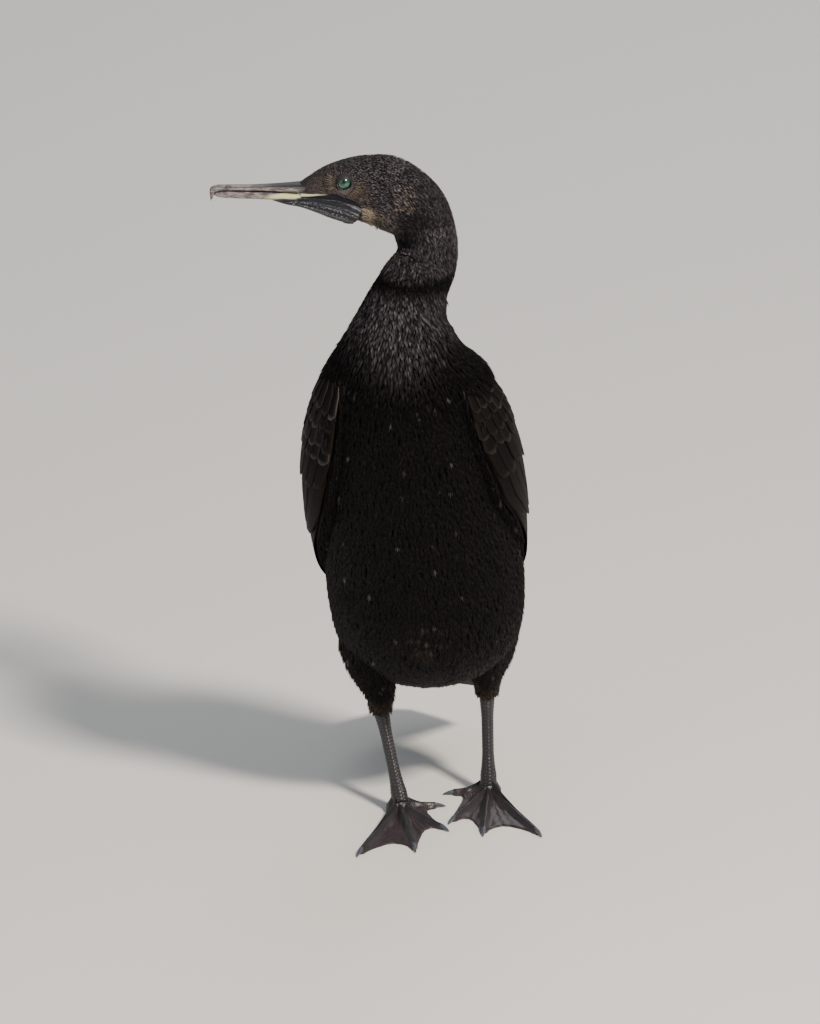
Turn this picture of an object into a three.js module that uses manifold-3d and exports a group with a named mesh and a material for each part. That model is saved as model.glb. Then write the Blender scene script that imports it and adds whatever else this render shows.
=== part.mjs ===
// A cormorant standing upright with its head turned to its right, life size, in millimetres.
// +Z is up and the chest faces -Y. The bird's own left side is +X, and its bill points to -X.
import * as THREE from "three";
import { mergeVertices } from "three/addons/utils/BufferGeometryUtils.js";
import Module from "manifold-3d";

const wasm = await Module();
wasm.setup();

// Driving sizes
const gap = 0.3; // left between pieces that touch
const bill = { baseX: -98, mouthZ: 510.9 };
const eye = { x: -65.8, z: 522.2, depth: 12.6, radius: 6.6 };
const wingPlan = { start: 0.8, coreEnd: 5, depth: 12 };
const vaneThick = 0.6;
const tailPlan = {
  length: 132,
  outerLength: 98,
  droop: 30,
  feathers: 12,
  width: 22,
  spread: 2.7,
  pitch: 1.9,
};
const foot = { knobHeight: 15, knobRadius: 8.5, web: 1.5, toeHeight: 6.2, toeWidth: 3.7, claw: 9 };

// Body stations from the bill's base, over the head, down the neck and back to the tail.
// at is a ring's centre, turn the heading in degrees (90 faces -X), side the half-width across,
// back and belly the half-widths towards the back and towards the throat or belly.
function station(name, at, turn, side, back, belly) {
  return { name, at, turn, side, back, belly };
}
const bodyStations = [
  station("bill base", [-99, 0, 508], 90, 8.6, 8.6, 9.6),
  station("forehead", [-91, 0, 509.4], 90, 12, 13.2, 14),
  station("brow", [-78, 0, 511], 90, 15.8, 19.8, 20.6),
  station("eye", [-62, 0, 511.8], 90, 19.2, 25, 25.2),
  station("cheek", [-46, 0, 511.8], 90, 21.3, 27.6, 27.2),
  station("crown", [-31, 0, 509.6], 90, 22.4, 28.4, 28.6),
  station("nape", [-10.5, 0, 495.5], 90, 22.4, 24.6, 26.2),
  station("throat", [-1.5, -1, 471], 88, 21.2, 23, 23),
  station("upper neck", [-3.8, -5, 453], 74, 22.5, 25, 25),
  station("neck bend", [-12.5, -15, 437.5], 46, 28, 28, 29),
  station("lower neck", [-19, -25, 420], 20, 35, 30, 31.5),
  station("neck base", [-21.5, -33, 398], 4, 48, 34, 38),
  station("shoulder", [-20.5, -31, 370], 0, 66, 43, 50),
  station("upper breast", [-15.5, -22, 332], 0, 70.5, 56, 58),
  station("breast", [-12, -10, 282], 0, 74, 61, 62),
  station("belly", [-6, 6, 220], 0, 76.5, 62, 63),
  station("flank", [-2.5, 18, 174], 0, 76, 58, 60),
  station("thigh line", [-2, 33, 143], 0, 70, 50, 52),
  station("vent", [-2, 52, 121], 0, 52, 33, 36),
  station("rump", [-2, 73, 106], 0, 30, 18, 20),
  station("tail base", [-2, 93, 95], 0, 20, 9, 9),
];
const stationNamed = (name) => bodyStations.findIndex((s) => s.name === name);
const headEnd = stationNamed("throat") - 0.5;
const neckMiddle = stationNamed("neck bend");
const neckEnd = stationNamed("neck base") + 0.3;
const torsoEnd = bodyStations.length - 1;

// The folded wings lie on a wider shell, which leaves the body at the flank and runs on past the rump.
const wingStations = [
  station("shoulder", [-20, -34, 392], 0, 48, 32, 42),
  station("wrist", [-20.5, -31, 364], 0, 63, 38, 54),
  station("arm", [-17, -21, 326], 0, 76.5, 53, 60),
  station("breast", [-12.6, -10, 278], 0, 82.5, 67, 66),
  station("belly", [-6.3, 6, 215], 0, 79, 68, 66),
  station("flank", [-2.5, 23, 165], 0, 68, 65, 60),
  station("rump", [-2, 40, 126], 0, 50, 60, 50),
  station("wing tips", [-2, 58, 88], 0, 33, 55, 40),
];

// Splines through stations
function knotsOf(list) {
  const knots = [0];
  for (let i = 1; i < list.length; i++) {
    const a = new THREE.Vector3(...list[i - 1].at);
    knots.push(knots[i - 1] + a.distanceTo(new THREE.Vector3(...list[i].at)));
  }
  return knots;
}

// A smooth curve's value and slope through one number of each station, at place t.
function hermite(values, knots, t) {
  const last = values.length - 1;
  const i = Math.min(last - 1, Math.max(0, Math.floor(t)));
  const u = t - i;
  const span = knots[i + 1] - knots[i];
  const slope = (k) => {
    const lo = Math.max(0, k - 1);
    const hi = Math.min(last, k + 1);
    return (values[hi] - values[lo]) / (knots[hi] - knots[lo]);
  };
  const m0 = slope(i) * span;
  const m1 = slope(i + 1) * span;
  const p0 = values[i];
  const p1 = values[i + 1];
  const value =
    (2 * u ** 3 - 3 * u ** 2 + 1) * p0 + (u ** 3 - 2 * u ** 2 + u) * m0 +
    (3 * u ** 2 - 2 * u ** 3) * p1 + (u ** 3 - u ** 2) * m1;
  const rate =
    (6 * u ** 2 - 6 * u) * (p0 - p1) + (3 * u ** 2 - 4 * u + 1) * m0 + (3 * u ** 2 - 2 * u) * m1;
  return { value, rate: rate / span };
}

// The ring at place t: its centre, its axis towards the head, its left and back directions and half-widths.
function ringAt(list, t) {
  const knots = knotsOf(list);
  const axes = [0, 1, 2].map((k) => hermite(list.map((s) => s.at[k]), knots, t));
  const read = (key) => hermite(list.map((s) => s[key]), knots, t).value;
  const centre = new THREE.Vector3(...axes.map((a) => a.value));
  const ahead = new THREE.Vector3(...axes.map((a) => -a.rate)).normalize();
  const turn = THREE.MathUtils.degToRad(read("turn"));
  const left = new THREE.Vector3(Math.cos(turn), -Math.sin(turn), 0);
  left.addScaledVector(ahead, -left.dot(ahead)).normalize();
  const back = new THREE.Vector3().crossVectors(ahead, left);
  return { centre, ahead, left, back, sideR: read("side"), backR: read("back"), bellyR: read("belly") };
}

// A point of a ring: angle 0 is the back, 90 the bird's left, and lift stands it off the surface.
function ringPoint(ring, angle, lift = 0) {
  const a = THREE.MathUtils.degToRad(angle);
  const deep = (Math.cos(a) > 0 ? ring.backR : ring.bellyR) + lift;
  return ring.centre
    .clone()
    .addScaledVector(ring.back, Math.cos(a) * deep)
    .addScaledVector(ring.left, Math.sin(a) * (ring.sideR + lift));
}

// Solids
// A closed solid through a list of rings of points. A ring of one point is a tip, and open ends get a fan.
function loft(rings) {
  const points = [];
  const faces = [];
  const starts = rings.map((ring) => {
    const start = points.length;
    points.push(...ring);
    return start;
  });
  for (let k = 0; k + 1 < rings.length; k++) {
    const a = rings[k].length;
    const b = rings[k + 1].length;
    const n = Math.max(a, b);
    for (let j = 0; j < n; j++) {
      const a0 = starts[k] + (j % a);
      const a1 = starts[k] + ((j + 1) % a);
      const b0 = starts[k + 1] + (j % b);
      const b1 = starts[k + 1] + ((j + 1) % b);
      if (a > 1) faces.push([a0, a1, b0]);
      if (b > 1) faces.push([a1 === a0 ? a0 : a1, b1, b0]);
    }
  }
  [0, rings.length - 1].forEach((k) => {
    const ring = rings[k];
    if (ring.length === 1) return;
    const middle = ring.reduce((sum, p) => sum.add(p), new THREE.Vector3()).divideScalar(ring.length);
    points.push(middle);
    for (let j = 0; j < ring.length; j++) {
      const a = starts[k] + j;
      const b = starts[k] + ((j + 1) % ring.length);
      faces.push(k === 0 ? [b, a, points.length - 1] : [a, b, points.length - 1]);
    }
  });
  return solidOf(points, faces);
}

// A manifold solid of points and faces, turned to face outwards.
function solidOf(points, faces) {
  const volume = faces.reduce(
    (sum, [a, b, c]) => sum + points[a].dot(new THREE.Vector3().crossVectors(points[b], points[c])),
    0,
  );
  const order = volume < 0 ? ([a, b, c]) => [a, c, b] : (f) => f;
  const mesh = new wasm.Mesh({
    numProp: 3,
    vertProperties: new Float32Array(points.flatMap((p) => p.toArray())),
    triVerts: new Uint32Array(faces.flatMap(order)),
  });
  return new wasm.Manifold(mesh);
}

function solidOfGeometry(geometry) {
  const plain = new THREE.BufferGeometry().setAttribute("position", geometry.getAttribute("position"));
  plain.setIndex(geometry.index);
  const merged = mergeVertices(plain, 1e-3);
  return new wasm.Manifold(
    new wasm.Mesh({
      numProp: 3,
      vertProperties: merged.attributes.position.array,
      triVerts: new Uint32Array(merged.index.array),
    }),
  );
}

// The largest closed surface of a solid, without loose scraps.
function largest(solid) {
  return solid.decompose().reduce((a, b) => (b.volume() > a.volume() ? b : a));
}

// Solids joined into one, without the hair-thin faces that near misses leave.
const join = (solids) => largest(wasm.Manifold.union(solids)).simplify(0.01);

// A length of the body between two places, shrunk back by half a gap at each end and grown by lift.
function bodyLength(from, to, steps, around, lift = 0, ends = gap / 2) {
  const speed = (t) => {
    const d = 0.02;
    const a = ringAt(bodyStations, Math.max(0, t - d)).centre;
    const b = ringAt(bodyStations, Math.min(torsoEnd, t + d)).centre;
    return a.distanceTo(b) / (Math.min(torsoEnd, t + d) - Math.max(0, t - d));
  };
  const t0 = from + ends / speed(from);
  const t1 = to - ends / speed(to);
  const rings = [];
  for (let k = 0; k <= steps; k++) {
    const ring = ringAt(bodyStations, t0 + ((t1 - t0) * k) / steps);
    rings.push(Array.from({ length: around }, (_, j) => ringPoint(ring, (360 * j) / around, lift)));
  }
  return loft(rings);
}

const ball = (at, radius, across = 14) =>
  solidOfGeometry(new THREE.SphereGeometry(radius, across, across * 0.75)).translate(at.toArray());

// A tube with oval rings along points, each [point, half-width across x, half-width across the other way].
function limb(sections, around) {
  const rings = sections.map(([at, across, deep], k) => {
    const before = new THREE.Vector3(...sections[Math.max(0, k - 1)][0]);
    const after = new THREE.Vector3(...sections[Math.min(sections.length - 1, k + 1)][0]);
    const along = after.sub(before).normalize();
    const side = new THREE.Vector3(1, 0, 0).addScaledVector(along, -along.x).normalize();
    const front = new THREE.Vector3().crossVectors(along, side);
    return Array.from({ length: around }, (_, j) => {
      const a = (2 * Math.PI * j) / around;
      return new THREE.Vector3(...at)
        .addScaledVector(side, Math.cos(a) * across)
        .addScaledVector(front, Math.sin(a) * deep);
    });
  });
  return loft(rings);
}

// Bill: rings across the bill at x, from bottom to top, as wide as half
function billRing(x, bottom, top, half, lean = 0, flat = 0.6) {
  const middle = (top + bottom) / 2;
  const high = (top - bottom) / 2;
  return Array.from({ length: 12 }, (_, j) => {
    const a = (2 * Math.PI * j) / 12;
    const up = Math.sin(a);
    const squared = Math.sign(up) * Math.abs(up) ** flat;
    return new THREE.Vector3(x + lean * up * high, Math.cos(a) * half, middle + squared * high);
  });
}

// A loft of bill sections, each x, bottom, top, half-width and lean, grown by lift.
function billLoft(sections, lift) {
  return sections.map(([x, bottom, top, half, lean]) =>
    billRing(x, bottom - lift, top + lift, half + lift, lean),
  );
}

function upperBill(lift = 0) {
  const mouth = bill.mouthZ + gap / 2;
  const sections = [
    [bill.baseX + 3, mouth - 1, 517.4, 8.8, 0],
    [-110, mouth - 0.4, 516.3, 6.9, 0],
    [-124, mouth, 515.5, 5.6, 0],
    [-140, mouth + 0.3, 515, 4.7, 0],
    [-154, mouth + 0.3, 515, 4.2, 0],
    [-161, mouth - 0.2, 515.1, 3.9, 0],
    [-164.4, 509.9, 514.7, 3.5, -0.25],
    [-166.6, 508.6, 513, 2.9, -0.8],
    [-167.4, 506.7, 509.9, 2.3, -1.1],
    [-167.8, 504.9, 506.9, 1.5, -1.2],
    [-168.1, 503.1, 504.3, 0.8, -1],
  ];
  return loft([...billLoft(sections, lift), [new THREE.Vector3(-168.3, 0, 501.8 - lift)]]);
}

function lowerBill(lift = 0) {
  const mouth = bill.mouthZ - gap / 2;
  const sections = [
    [bill.baseX + 3, 502.4, mouth - 1, 8.6, 0],
    [-110, 502.9, mouth - 0.4, 6.7, 0],
    [-124, 503.8, mouth, 5.4, 0],
    [-140, 504.2, mouth + 0.3, 4.4, 0],
    [-154, 504.6, mouth + 0.3, 3.8, 0],
    [-161, 505.2, mouth - 0.2, 3, 0],
    [-163.6, 506.8, mouth - 1.2, 1.6, 0],
  ];
  return loft(billLoft(sections, lift));
}

// The bare throat pouch, from a keel under the bill back to the pale chin feathers.
function pouch(lift = 0) {
  const sections = [
    [-121, 503, 504.2, 2, -0.25],
    [-112, 500.2, 505.2, 5.4, -0.25],
    [-99, 497.2, 510.2, 8.9, -0.2],
    [-88, 493.6, 511.9, 13.2, -0.1],
    [-76, 489.2, 512.7, 16.9, 0],
    [-66, 486.8, 511.2, 19.3, 0.2],
    [-60, 485.5, 508.4, 20.4, 0.4],
    [-55.6, 485.8, 505, 20.2, 0.55],
  ];
  const longer = (k) => (k === 0 ? -lift : k === sections.length - 1 ? lift * 1.5 : 0);
  return loft(
    sections.map(([x, bottom, top, half, lean], k) =>
      billRing(x + longer(k), bottom - lift, top + lift, half + lift, lean, 0.9),
    ),
  );
}

function eyeball(side, lift = 0) {
  return ball(new THREE.Vector3(eye.x, -side * eye.depth, eye.z), eye.radius + lift);
}

// Lids: a low ring of skin about each eye.
function lid(side) {
  const ring = new THREE.TorusGeometry(eye.radius - 0.9, 1.1, 5, 16);
  const facing = new THREE.Vector3(-0.12, -side, 0.22).normalize();
  const turn = new THREE.Quaternion().setFromUnitVectors(new THREE.Vector3(0, 0, 1), facing);
  ring.applyQuaternion(turn);
  ring.translate(eye.x - 0.3, -side * (eye.depth + 4.3), eye.z + 0.5);
  return solidOfGeometry(ring);
}

// Wings
const wingFront = [126, 131, 133, 124, 92, 70, 48, 30]; // angle of the front edge at each wing station
const wingBack = [16, 13, 9, 6.5, 5.5, 5, 4.5, 4]; // angle of the edge along the spine

function along(list, t) {
  const i = Math.min(list.length - 2, Math.max(0, Math.floor(t)));
  return list[i] + (list[i + 1] - list[i]) * (t - i);
}

// A point on the wing shell: across is 0 at the front edge and 1 at the spine, lift its height.
function wingPoint(side, t, across, lift) {
  const angle = along(wingFront, t) + (along(wingBack, t) - along(wingFront, t)) * across;
  return ringPoint(ringAt(wingStations, t), side * angle, lift);
}

// Height of the wing's solid core over the shell, at each wing station.
const coreHeight = [3, 4.4, 3.8, 2.4, 0.8, -0.6, -0.6, -0.6];

function wingCore(side, lift = 0) {
  const steps = 8;
  const acrossSteps = 7;
  const rings = [];
  for (let k = 0; k <= steps; k++) {
    const t = wingPlan.start + ((wingPlan.coreEnd - wingPlan.start) * k) / steps;
    const outer = [];
    const inner = [];
    for (let j = 0; j <= acrossSteps; j++) {
      const across = j / acrossSteps;
      const rounding = 1 - (2 * across - 1) ** 8;
      outer.push(wingPoint(side, t, across, along(coreHeight, t) * rounding + lift));
      inner.unshift(wingPoint(side, t, across, -wingPlan.depth));
    }
    rings.push([...outer, ...inner]);
  }
  return loft(rings);
}

// A thin wall along the spine, which parts the two wings.
function spineWall() {
  const rings = [];
  for (let t = wingPlan.start - 0.2; t < 7.3; t += 0.3) {
    const ring = ringAt(wingStations, Math.min(t, 7.1));
    const corner = (aside, lift) =>
      ring.centre.clone().addScaledVector(ring.back, ring.backR + lift).addScaledVector(ring.left, aside);
    rings.push([corner(-gap / 2, -40), corner(gap / 2, -40), corner(gap / 2, 30), corner(-gap / 2, 30)]);
  }
  return loft(rings);
}

// A tapered feather vane: place turns a share of its length, mm aside and mm of height into a point.
function vane(place, halfWidth, steps) {
  const outline = [[-1, 0], [-0.5, 0.5], [0.5, 0.5], [1, 0], [0.5, -0.5], [-0.5, -0.5]];
  const rings = Array.from({ length: steps + 1 }, (_, k) => {
    const share = (0.94 * k) / steps;
    const wide = halfWidth * Math.sqrt(1 - ((share - 0.5) / 0.62) ** 2);
    return outline.map(([aside, up]) => place(share, aside * wide, up * vaneThick));
  });
  return loft([...rings, [place(1, 0, 0)]]);
}

// Tiers of wing feathers, innermost layer first. Each runs from the spine (first) to the front edge (last):
// root and tip are places along the wing, height the lift there, across the spread over the wing.
function tier(count, half, root, tip, height, rootAcross, tipAcross) {
  return { count, half, root, tip, height, rootAcross, tipAcross };
}
const wingTiers = [
  tier(5, 9, [3.8, 3.8], [7, 5.7], [-0.6, 0.5], [0.86, 0.35], [0.94, 0.25]),
  tier(6, 13, [2.8, 2.8], [5.9, 4.75], [0.8, 2.4], [0.93, 0.09], [0.9, 0.12]),
  tier(6, 15.5, [2, 2], [3.75, 3.5], [1.6, 3.5], [0.93, 0.09], [0.92, 0.09]),
  tier(6, 16, [1.4, 1.4], [2.8, 2.6], [2.4, 4.7], [0.92, 0.1], [0.92, 0.08]),
  tier(5, 15, [0.95, 0.95], [1.95, 1.8], [2.4, 5.5], [0.7, 0.12], [0.74, 0.09]),
  tier(2, 13, [0.95, 1.1], [3.9, 3], [3.8, 8], [0.92, 0.76], [0.94, 0.78]),
];

function wingFeathers(side) {
  return wingTiers.flatMap((row) =>
    Array.from({ length: row.count }, (_, i) => {
      const order = i / (row.count - 1);
      const root = along(row.root, order);
      const tip = along(row.tip, order);
      const place = (share, aside, up) => {
        const t = root + (tip - root) * share;
        const across = along([along(row.rootAcross, order), along(row.tipAcross, order)], share);
        const lift = along(row.height, share) + up;
        const spacing = wingPoint(side, t, across, 0).distanceTo(wingPoint(side, t, across + 0.01, 0));
        const pitch = (vaneThick + gap) * (row.count - 1);
        const shift = (aside / spacing) * 0.01;
        const spread = Math.abs(row.rootAcross[0] - row.rootAcross[1]);
        return wingPoint(side, t, across + shift, lift - (shift / spread) * pitch);
      };
      return vane(place, row.half, Math.ceil((tip - root) / 0.72));
    }),
  );
}

// Tail: a short core with the tail feathers fanned out of it, the middle pair on top.
const tailDroop = THREE.MathUtils.degToRad(tailPlan.droop);
const tailDown = new THREE.Vector3(0, Math.cos(tailDroop), -Math.sin(tailDroop));
const tailUp = new THREE.Vector3(0, Math.sin(tailDroop), Math.cos(tailDroop));

function tailPoint(alongTail, aside, up) {
  return ringAt(bodyStations, torsoEnd)
    .centre.addScaledVector(tailDown, alongTail)
    .addScaledVector(tailUp, up)
    .add(new THREE.Vector3(aside, 0, 0));
}

function tailCore() {
  const sections = [[0.5, 19.5, 9], [14, 22, 8.4], [28, 24, 7.4], [42, 24, 6.4]];
  const rings = sections.map(([at, half, thick]) =>
    Array.from({ length: 14 }, (_, j) => {
      const a = (2 * Math.PI * j) / 14;
      return tailPoint(at, Math.cos(a) * half, Math.sin(a) * thick);
    }),
  );
  return loft(rings);
}

function tailFeathers() {
  const pairs = tailPlan.feathers / 2;
  return Array.from({ length: tailPlan.feathers }, (_, i) => {
    const side = i % 2 ? 1 : -1;
    const pair = Math.floor(i / 2);
    const fan = THREE.MathUtils.degToRad((pair + 0.4) * tailPlan.spread) * side;
    const length = tailPlan.length + ((tailPlan.outerLength - tailPlan.length) * pair) / (pairs - 1);
    const layer = 4.4 - (tailPlan.pitch * i) / 2;
    const place = (share, aside, up) => {
      const root = 12 + 1.3 * i;
      const out = root + (length - root) * share;
      return tailPoint(out, side * (pair + 0.5) * 2.6 + Math.tan(fan) * out + aside, layer + up);
    };
    return vane(place, tailPlan.width / 2, 3);
  });
}

// Legs: side is 1 for the bird's left leg. Each row is a point and its half-widths.
const legs = {
  left: { side: 1, joint: [45.4, 42], heel: [44.2, 60, 80], hip: [42, 36, 150] },
  right: { side: -1, joint: [-24, 5], heel: [-38.2, 31, 77], hip: [-46, 24, 146] },
};

function thigh(leg) {
  const [x, y, z] = leg.heel;
  const [hx, hy, hz] = leg.hip;
  return limb(
    [
      [[hx, hy, hz], 28, 30],
      [[hx + (x - hx) * 0.35, hy + (y - hy) * 0.35, hz + (z - hz) * 0.35], 23, 26],
      [[hx + (x - hx) * 0.68, hy + (y - hy) * 0.7, hz + (z - hz) * 0.68], 14, 17],
      [[x, y, z + 9], 9.8, 11.4],
      [[x, y, z], 7.6, 9],
    ],
    16,
  );
}

function shank(leg, lift = 0) {
  const [x, y, z] = leg.heel;
  const [jx, jy] = leg.joint;
  const bottom = foot.knobHeight + gap;
  const at = (share) => [jx + (x - jx) * share, jy + (y - jy) * share, bottom + (z - bottom) * share];
  return limb(
    [
      [at(-lift * 0.02), 6.6 + lift, 6.6 + lift],
      [at(0.12), 5.6 + lift, 6.4 + lift],
      [at(0.3), 4.7 + lift, 6.2 + lift],
      [at(0.65), 4.8 + lift, 6.6 + lift],
      [at(0.88), 6 + lift, 7.8 + lift],
      [at(1 + lift * 0.02), 7 + lift, 8.2 + lift],
    ],
    12,
  );
}

// Feet: four toes in one web, as a height over the floor in polar steps round the leg joint.
// Each toe is its tip from the joint, for the right foot; the first is the hind toe, which points inwards.
const toes = {
  right: [[29, 8], [34, -40], [12, -84], [-30, -94]],
  left: [[-28, -1], [-28, -60], [-4, -86], [38, -88]],
};

function footPlan(name) {
  const side = legs[name].side;
  return toes[name].map(([x, y]) => ({ angle: Math.atan2(y, x * -side), reach: Math.hypot(x, y) }));
}

// The web's edge between two toes: a chord pulled in towards the joint.
function webReach(a, b, angle) {
  const span = b.angle - a.angle;
  const share = (angle - a.angle) / span;
  const chord =
    (a.reach * b.reach * Math.sin(span)) /
    (a.reach * Math.sin(angle - a.angle) + b.reach * Math.sin(b.angle - angle));
  return chord * (1 - 0.13 * Math.sin(Math.PI * share));
}

function footHeight(plan, angle, reach) {
  const knob = foot.knobHeight / (1 + (reach / foot.knobRadius) ** 4);
  const toeLine = plan.reduce((most, toe) => {
    const off = angle - toe.angle;
    if (Math.cos(off) < 0.2) return most;
    const aside = Math.abs(reach * Math.sin(off));
    const share = Math.min(1, reach / toe.reach);
    const wide = foot.toeWidth * (1 - 0.35 * share);
    return Math.max(most, foot.toeHeight * (1 - 0.42 * share) * Math.exp(-((aside / wide) ** 2)));
  }, 0);
  const web = foot.web + 3.5 * Math.exp(-reach / 16);
  return Math.min(foot.knobHeight, Math.max(web + toeLine * 0.8, knob));
}

function footSolid(name) {
  const leg = legs[name];
  const plan = footPlan(name).sort((a, b) => a.angle - b.angle);
  const rays = [];
  plan.forEach((toe, k) => {
    const half = (foot.toeWidth * 0.8) / toe.reach;
    rays.push([toe.angle - half, toe.reach - 2.5]);
    rays.push([toe.angle, toe.reach]);
    rays.push([toe.angle + half, toe.reach - 2.5]);
    const next = plan[k + 1];
    if (!next) return;
    const a = { angle: toe.angle + half, reach: toe.reach - 7 };
    const b = { angle: next.angle - (foot.toeWidth * 0.8) / next.reach, reach: next.reach - 7 };
    for (let i = 0; i <= 4; i++) {
      const angle = a.angle + 0.02 + ((b.angle - a.angle - 0.04) * i) / 4;
      rays.push([angle, webReach(a, b, angle)]);
    }
  });
  const first = plan[0].angle;
  const last = plan[plan.length - 1].angle;
  const around = 2 * Math.PI - (last - first);
  const heelRays = 8;
  for (let i = 1; i < heelRays; i++) rays.push([last + (around * i) / heelRays, foot.knobRadius + 1.5]);
  const shares = [0.05, 0.1, 0.18, 0.3, 0.46, 0.64, 0.82, 1];
  const centre = new THREE.Vector3(leg.joint[0], leg.joint[1], 0);
  const place = (angle, reach, z) =>
    new THREE.Vector3(-leg.side * Math.cos(angle) * reach, Math.sin(angle) * reach, z).add(centre);
  const rings = [[place(0, 0, foot.knobHeight)]];
  shares.forEach((share) =>
    rings.push(
      rays.map(([angle, reach]) => {
        const droop = share === 1 ? 0.55 : 1;
        return place(angle, reach * share, footHeight(plan, angle, reach * share) * droop);
      }),
    ),
  );
  rings.push(rays.map(([angle, reach]) => place(angle, reach, 0)));
  rings.push([place(0, 0, 0)]);
  const claws = plan.map((toe) => {
    const outwards = place(toe.angle, 1, 0).sub(centre);
    const start = place(toe.angle, toe.reach - 6, 0);
    const sections = [[0, 2.4, 1.8], [0.35, 2.6, 1.7], [0.7, 2, 1.2], [1, 0.9, 0.5]];
    const across = new THREE.Vector3(-outwards.y, outwards.x, 0);
    const claw = sections.map(([share, height, half]) => {
      const middle = start.clone().addScaledVector(outwards, share * (foot.claw + 5));
      return Array.from({ length: 8 }, (_, j) => {
        const a = (2 * Math.PI * j) / 8;
        return middle
          .clone()
          .addScaledVector(across, Math.cos(a) * half)
          .add(new THREE.Vector3(0, 0, height + Math.sin(a) * half));
      });
    });
    return loft(claw);
  });
  return join([loft(rings), ...claws]);
}

// Colours and finishes
const finish = {
  plumage: new THREE.MeshStandardMaterial({ color: 0x17151a, roughness: 0.72, metalness: 0 }),
  flightFeather: new THREE.MeshStandardMaterial({ color: 0x1c1714, roughness: 0.55, metalness: 0 }),
  bill: new THREE.MeshStandardMaterial({ color: 0x6b6266, roughness: 0.4, metalness: 0 }),
  pouchSkin: new THREE.MeshStandardMaterial({ color: 0x22252e, roughness: 0.45, metalness: 0 }),
  eye: new THREE.MeshStandardMaterial({ color: 0x12493c, roughness: 0.08, metalness: 0 }),
  footSkin: new THREE.MeshStandardMaterial({ color: 0x2b262b, roughness: 0.5, metalness: 0 }),
};

// Assembly
const nodes = new Map();
const torsoGrown = bodyLength(neckEnd, torsoEnd, 21, 28, gap, 0);
const bodyGrown = torsoGrown.add(bodyLength(neckMiddle, neckEnd, 7, 24, gap, 0));
const face = bodyLength(0, 2, 6, 28, gap, -gap / 2);
const upper = largest(upperBill().subtract(face));
const lower = largest(lowerBill().subtract(face));
const throat = largest(pouch().subtract(lowerBill(gap)).subtract(upperBill(gap)));
const lids = [1, -1].map((side) => lid(side));
const head = largest(
  join([bodyLength(0, headEnd, 17, 24), ...lids])
    .subtract(pouch(gap))
    .subtract(eyeball(1, gap))
    .subtract(eyeball(-1, gap)),
);
nodes.set("head", [head, finish.plumage]);
nodes.set("upper_bill", [upper, finish.bill]);
nodes.set("lower_bill", [lower, finish.bill]);
nodes.set("throat_pouch", [throat, finish.pouchSkin]);
nodes.set("eye_left", [eyeball(1), finish.eye]);
nodes.set("eye_right", [eyeball(-1), finish.eye]);
nodes.set("neck_upper", [bodyLength(headEnd, neckMiddle, 7, 24), finish.plumage]);
nodes.set("neck_lower", [bodyLength(neckMiddle, neckEnd, 7, 24), finish.plumage]);
nodes.set("torso", [bodyLength(neckEnd, torsoEnd, 21, 28), finish.plumage]);
nodes.set("tail", [join([tailCore(), ...tailFeathers()]), finish.flightFeather]);
for (const [name, leg] of Object.entries(legs)) {
  const wing = join([wingCore(leg.side), ...wingFeathers(leg.side)]).subtract(bodyGrown.add(spineWall()));
  nodes.set(`wing_${name}`, [join([wing]), finish.flightFeather]);
  const wingClearance = wingCore(leg.side, 8);
  const legTop = thigh(leg).subtract(torsoGrown).subtract(shank(leg, gap)).subtract(wingClearance);
  nodes.set(`thigh_${name}`, [largest(legTop), finish.plumage]);
  nodes.set(`shank_${name}`, [shank(leg), finish.footSkin]);
  nodes.set(`foot_${name}`, [largest(footSolid(name).subtract(shank(leg, gap))), finish.footSkin]);
}

const bird = new THREE.Group();
for (const [name, [solid, material]] of nodes) {
  const mesh = solid.getMesh();
  const geometry = new THREE.BufferGeometry()
    .setAttribute("position", new THREE.BufferAttribute(new Float32Array(mesh.vertProperties), 3))
    .setIndex(new THREE.BufferAttribute(new Uint32Array(mesh.triVerts), 1));
  const part = new THREE.Mesh(geometry, material);
  part.name = name;
  bird.add(part);
}

// The part's origin is the middle of its footprint on the floor.
const box = new THREE.Box3().setFromObject(bird);
const centre = box.getCenter(new THREE.Vector3());
bird.children.forEach((part) => part.position.set(-centre.x, -centre.y, -box.min.z));

export default bird;
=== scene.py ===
import math

import bpy
import bmesh
import numpy as np
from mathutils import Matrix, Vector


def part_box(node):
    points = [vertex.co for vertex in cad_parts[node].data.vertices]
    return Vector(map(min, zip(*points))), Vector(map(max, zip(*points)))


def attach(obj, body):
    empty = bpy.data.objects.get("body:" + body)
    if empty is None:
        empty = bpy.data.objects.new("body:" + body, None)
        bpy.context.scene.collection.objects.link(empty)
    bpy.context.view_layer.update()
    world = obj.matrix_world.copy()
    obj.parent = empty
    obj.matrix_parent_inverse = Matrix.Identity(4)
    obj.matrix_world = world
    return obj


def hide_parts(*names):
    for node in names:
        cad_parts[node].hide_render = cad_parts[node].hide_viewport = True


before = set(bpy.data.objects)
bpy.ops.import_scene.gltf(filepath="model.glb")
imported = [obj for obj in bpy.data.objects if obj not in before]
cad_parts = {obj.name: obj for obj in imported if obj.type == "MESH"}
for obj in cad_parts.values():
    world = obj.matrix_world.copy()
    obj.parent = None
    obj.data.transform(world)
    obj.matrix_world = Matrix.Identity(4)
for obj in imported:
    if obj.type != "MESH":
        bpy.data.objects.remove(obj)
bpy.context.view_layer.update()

# A cormorant standing upright, its head turned to its right. All sizes here are millimetres in the frame
# that the solids are drawn in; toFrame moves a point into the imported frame, in metres. Side 1 is the left.
eyeMiddle = {side: np.array([-65.8, -12.6 * side, 522.2]) for side in (1, -1)}
shift = np.array([list(corner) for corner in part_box("eye_left")], float).mean(axis=0) * 1000 - eyeMiddle[1]
sides = ((1, "left"), (-1, "right"))


def toFrame(points):
    return (np.asarray(points, float) + shift) / 1000


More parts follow.
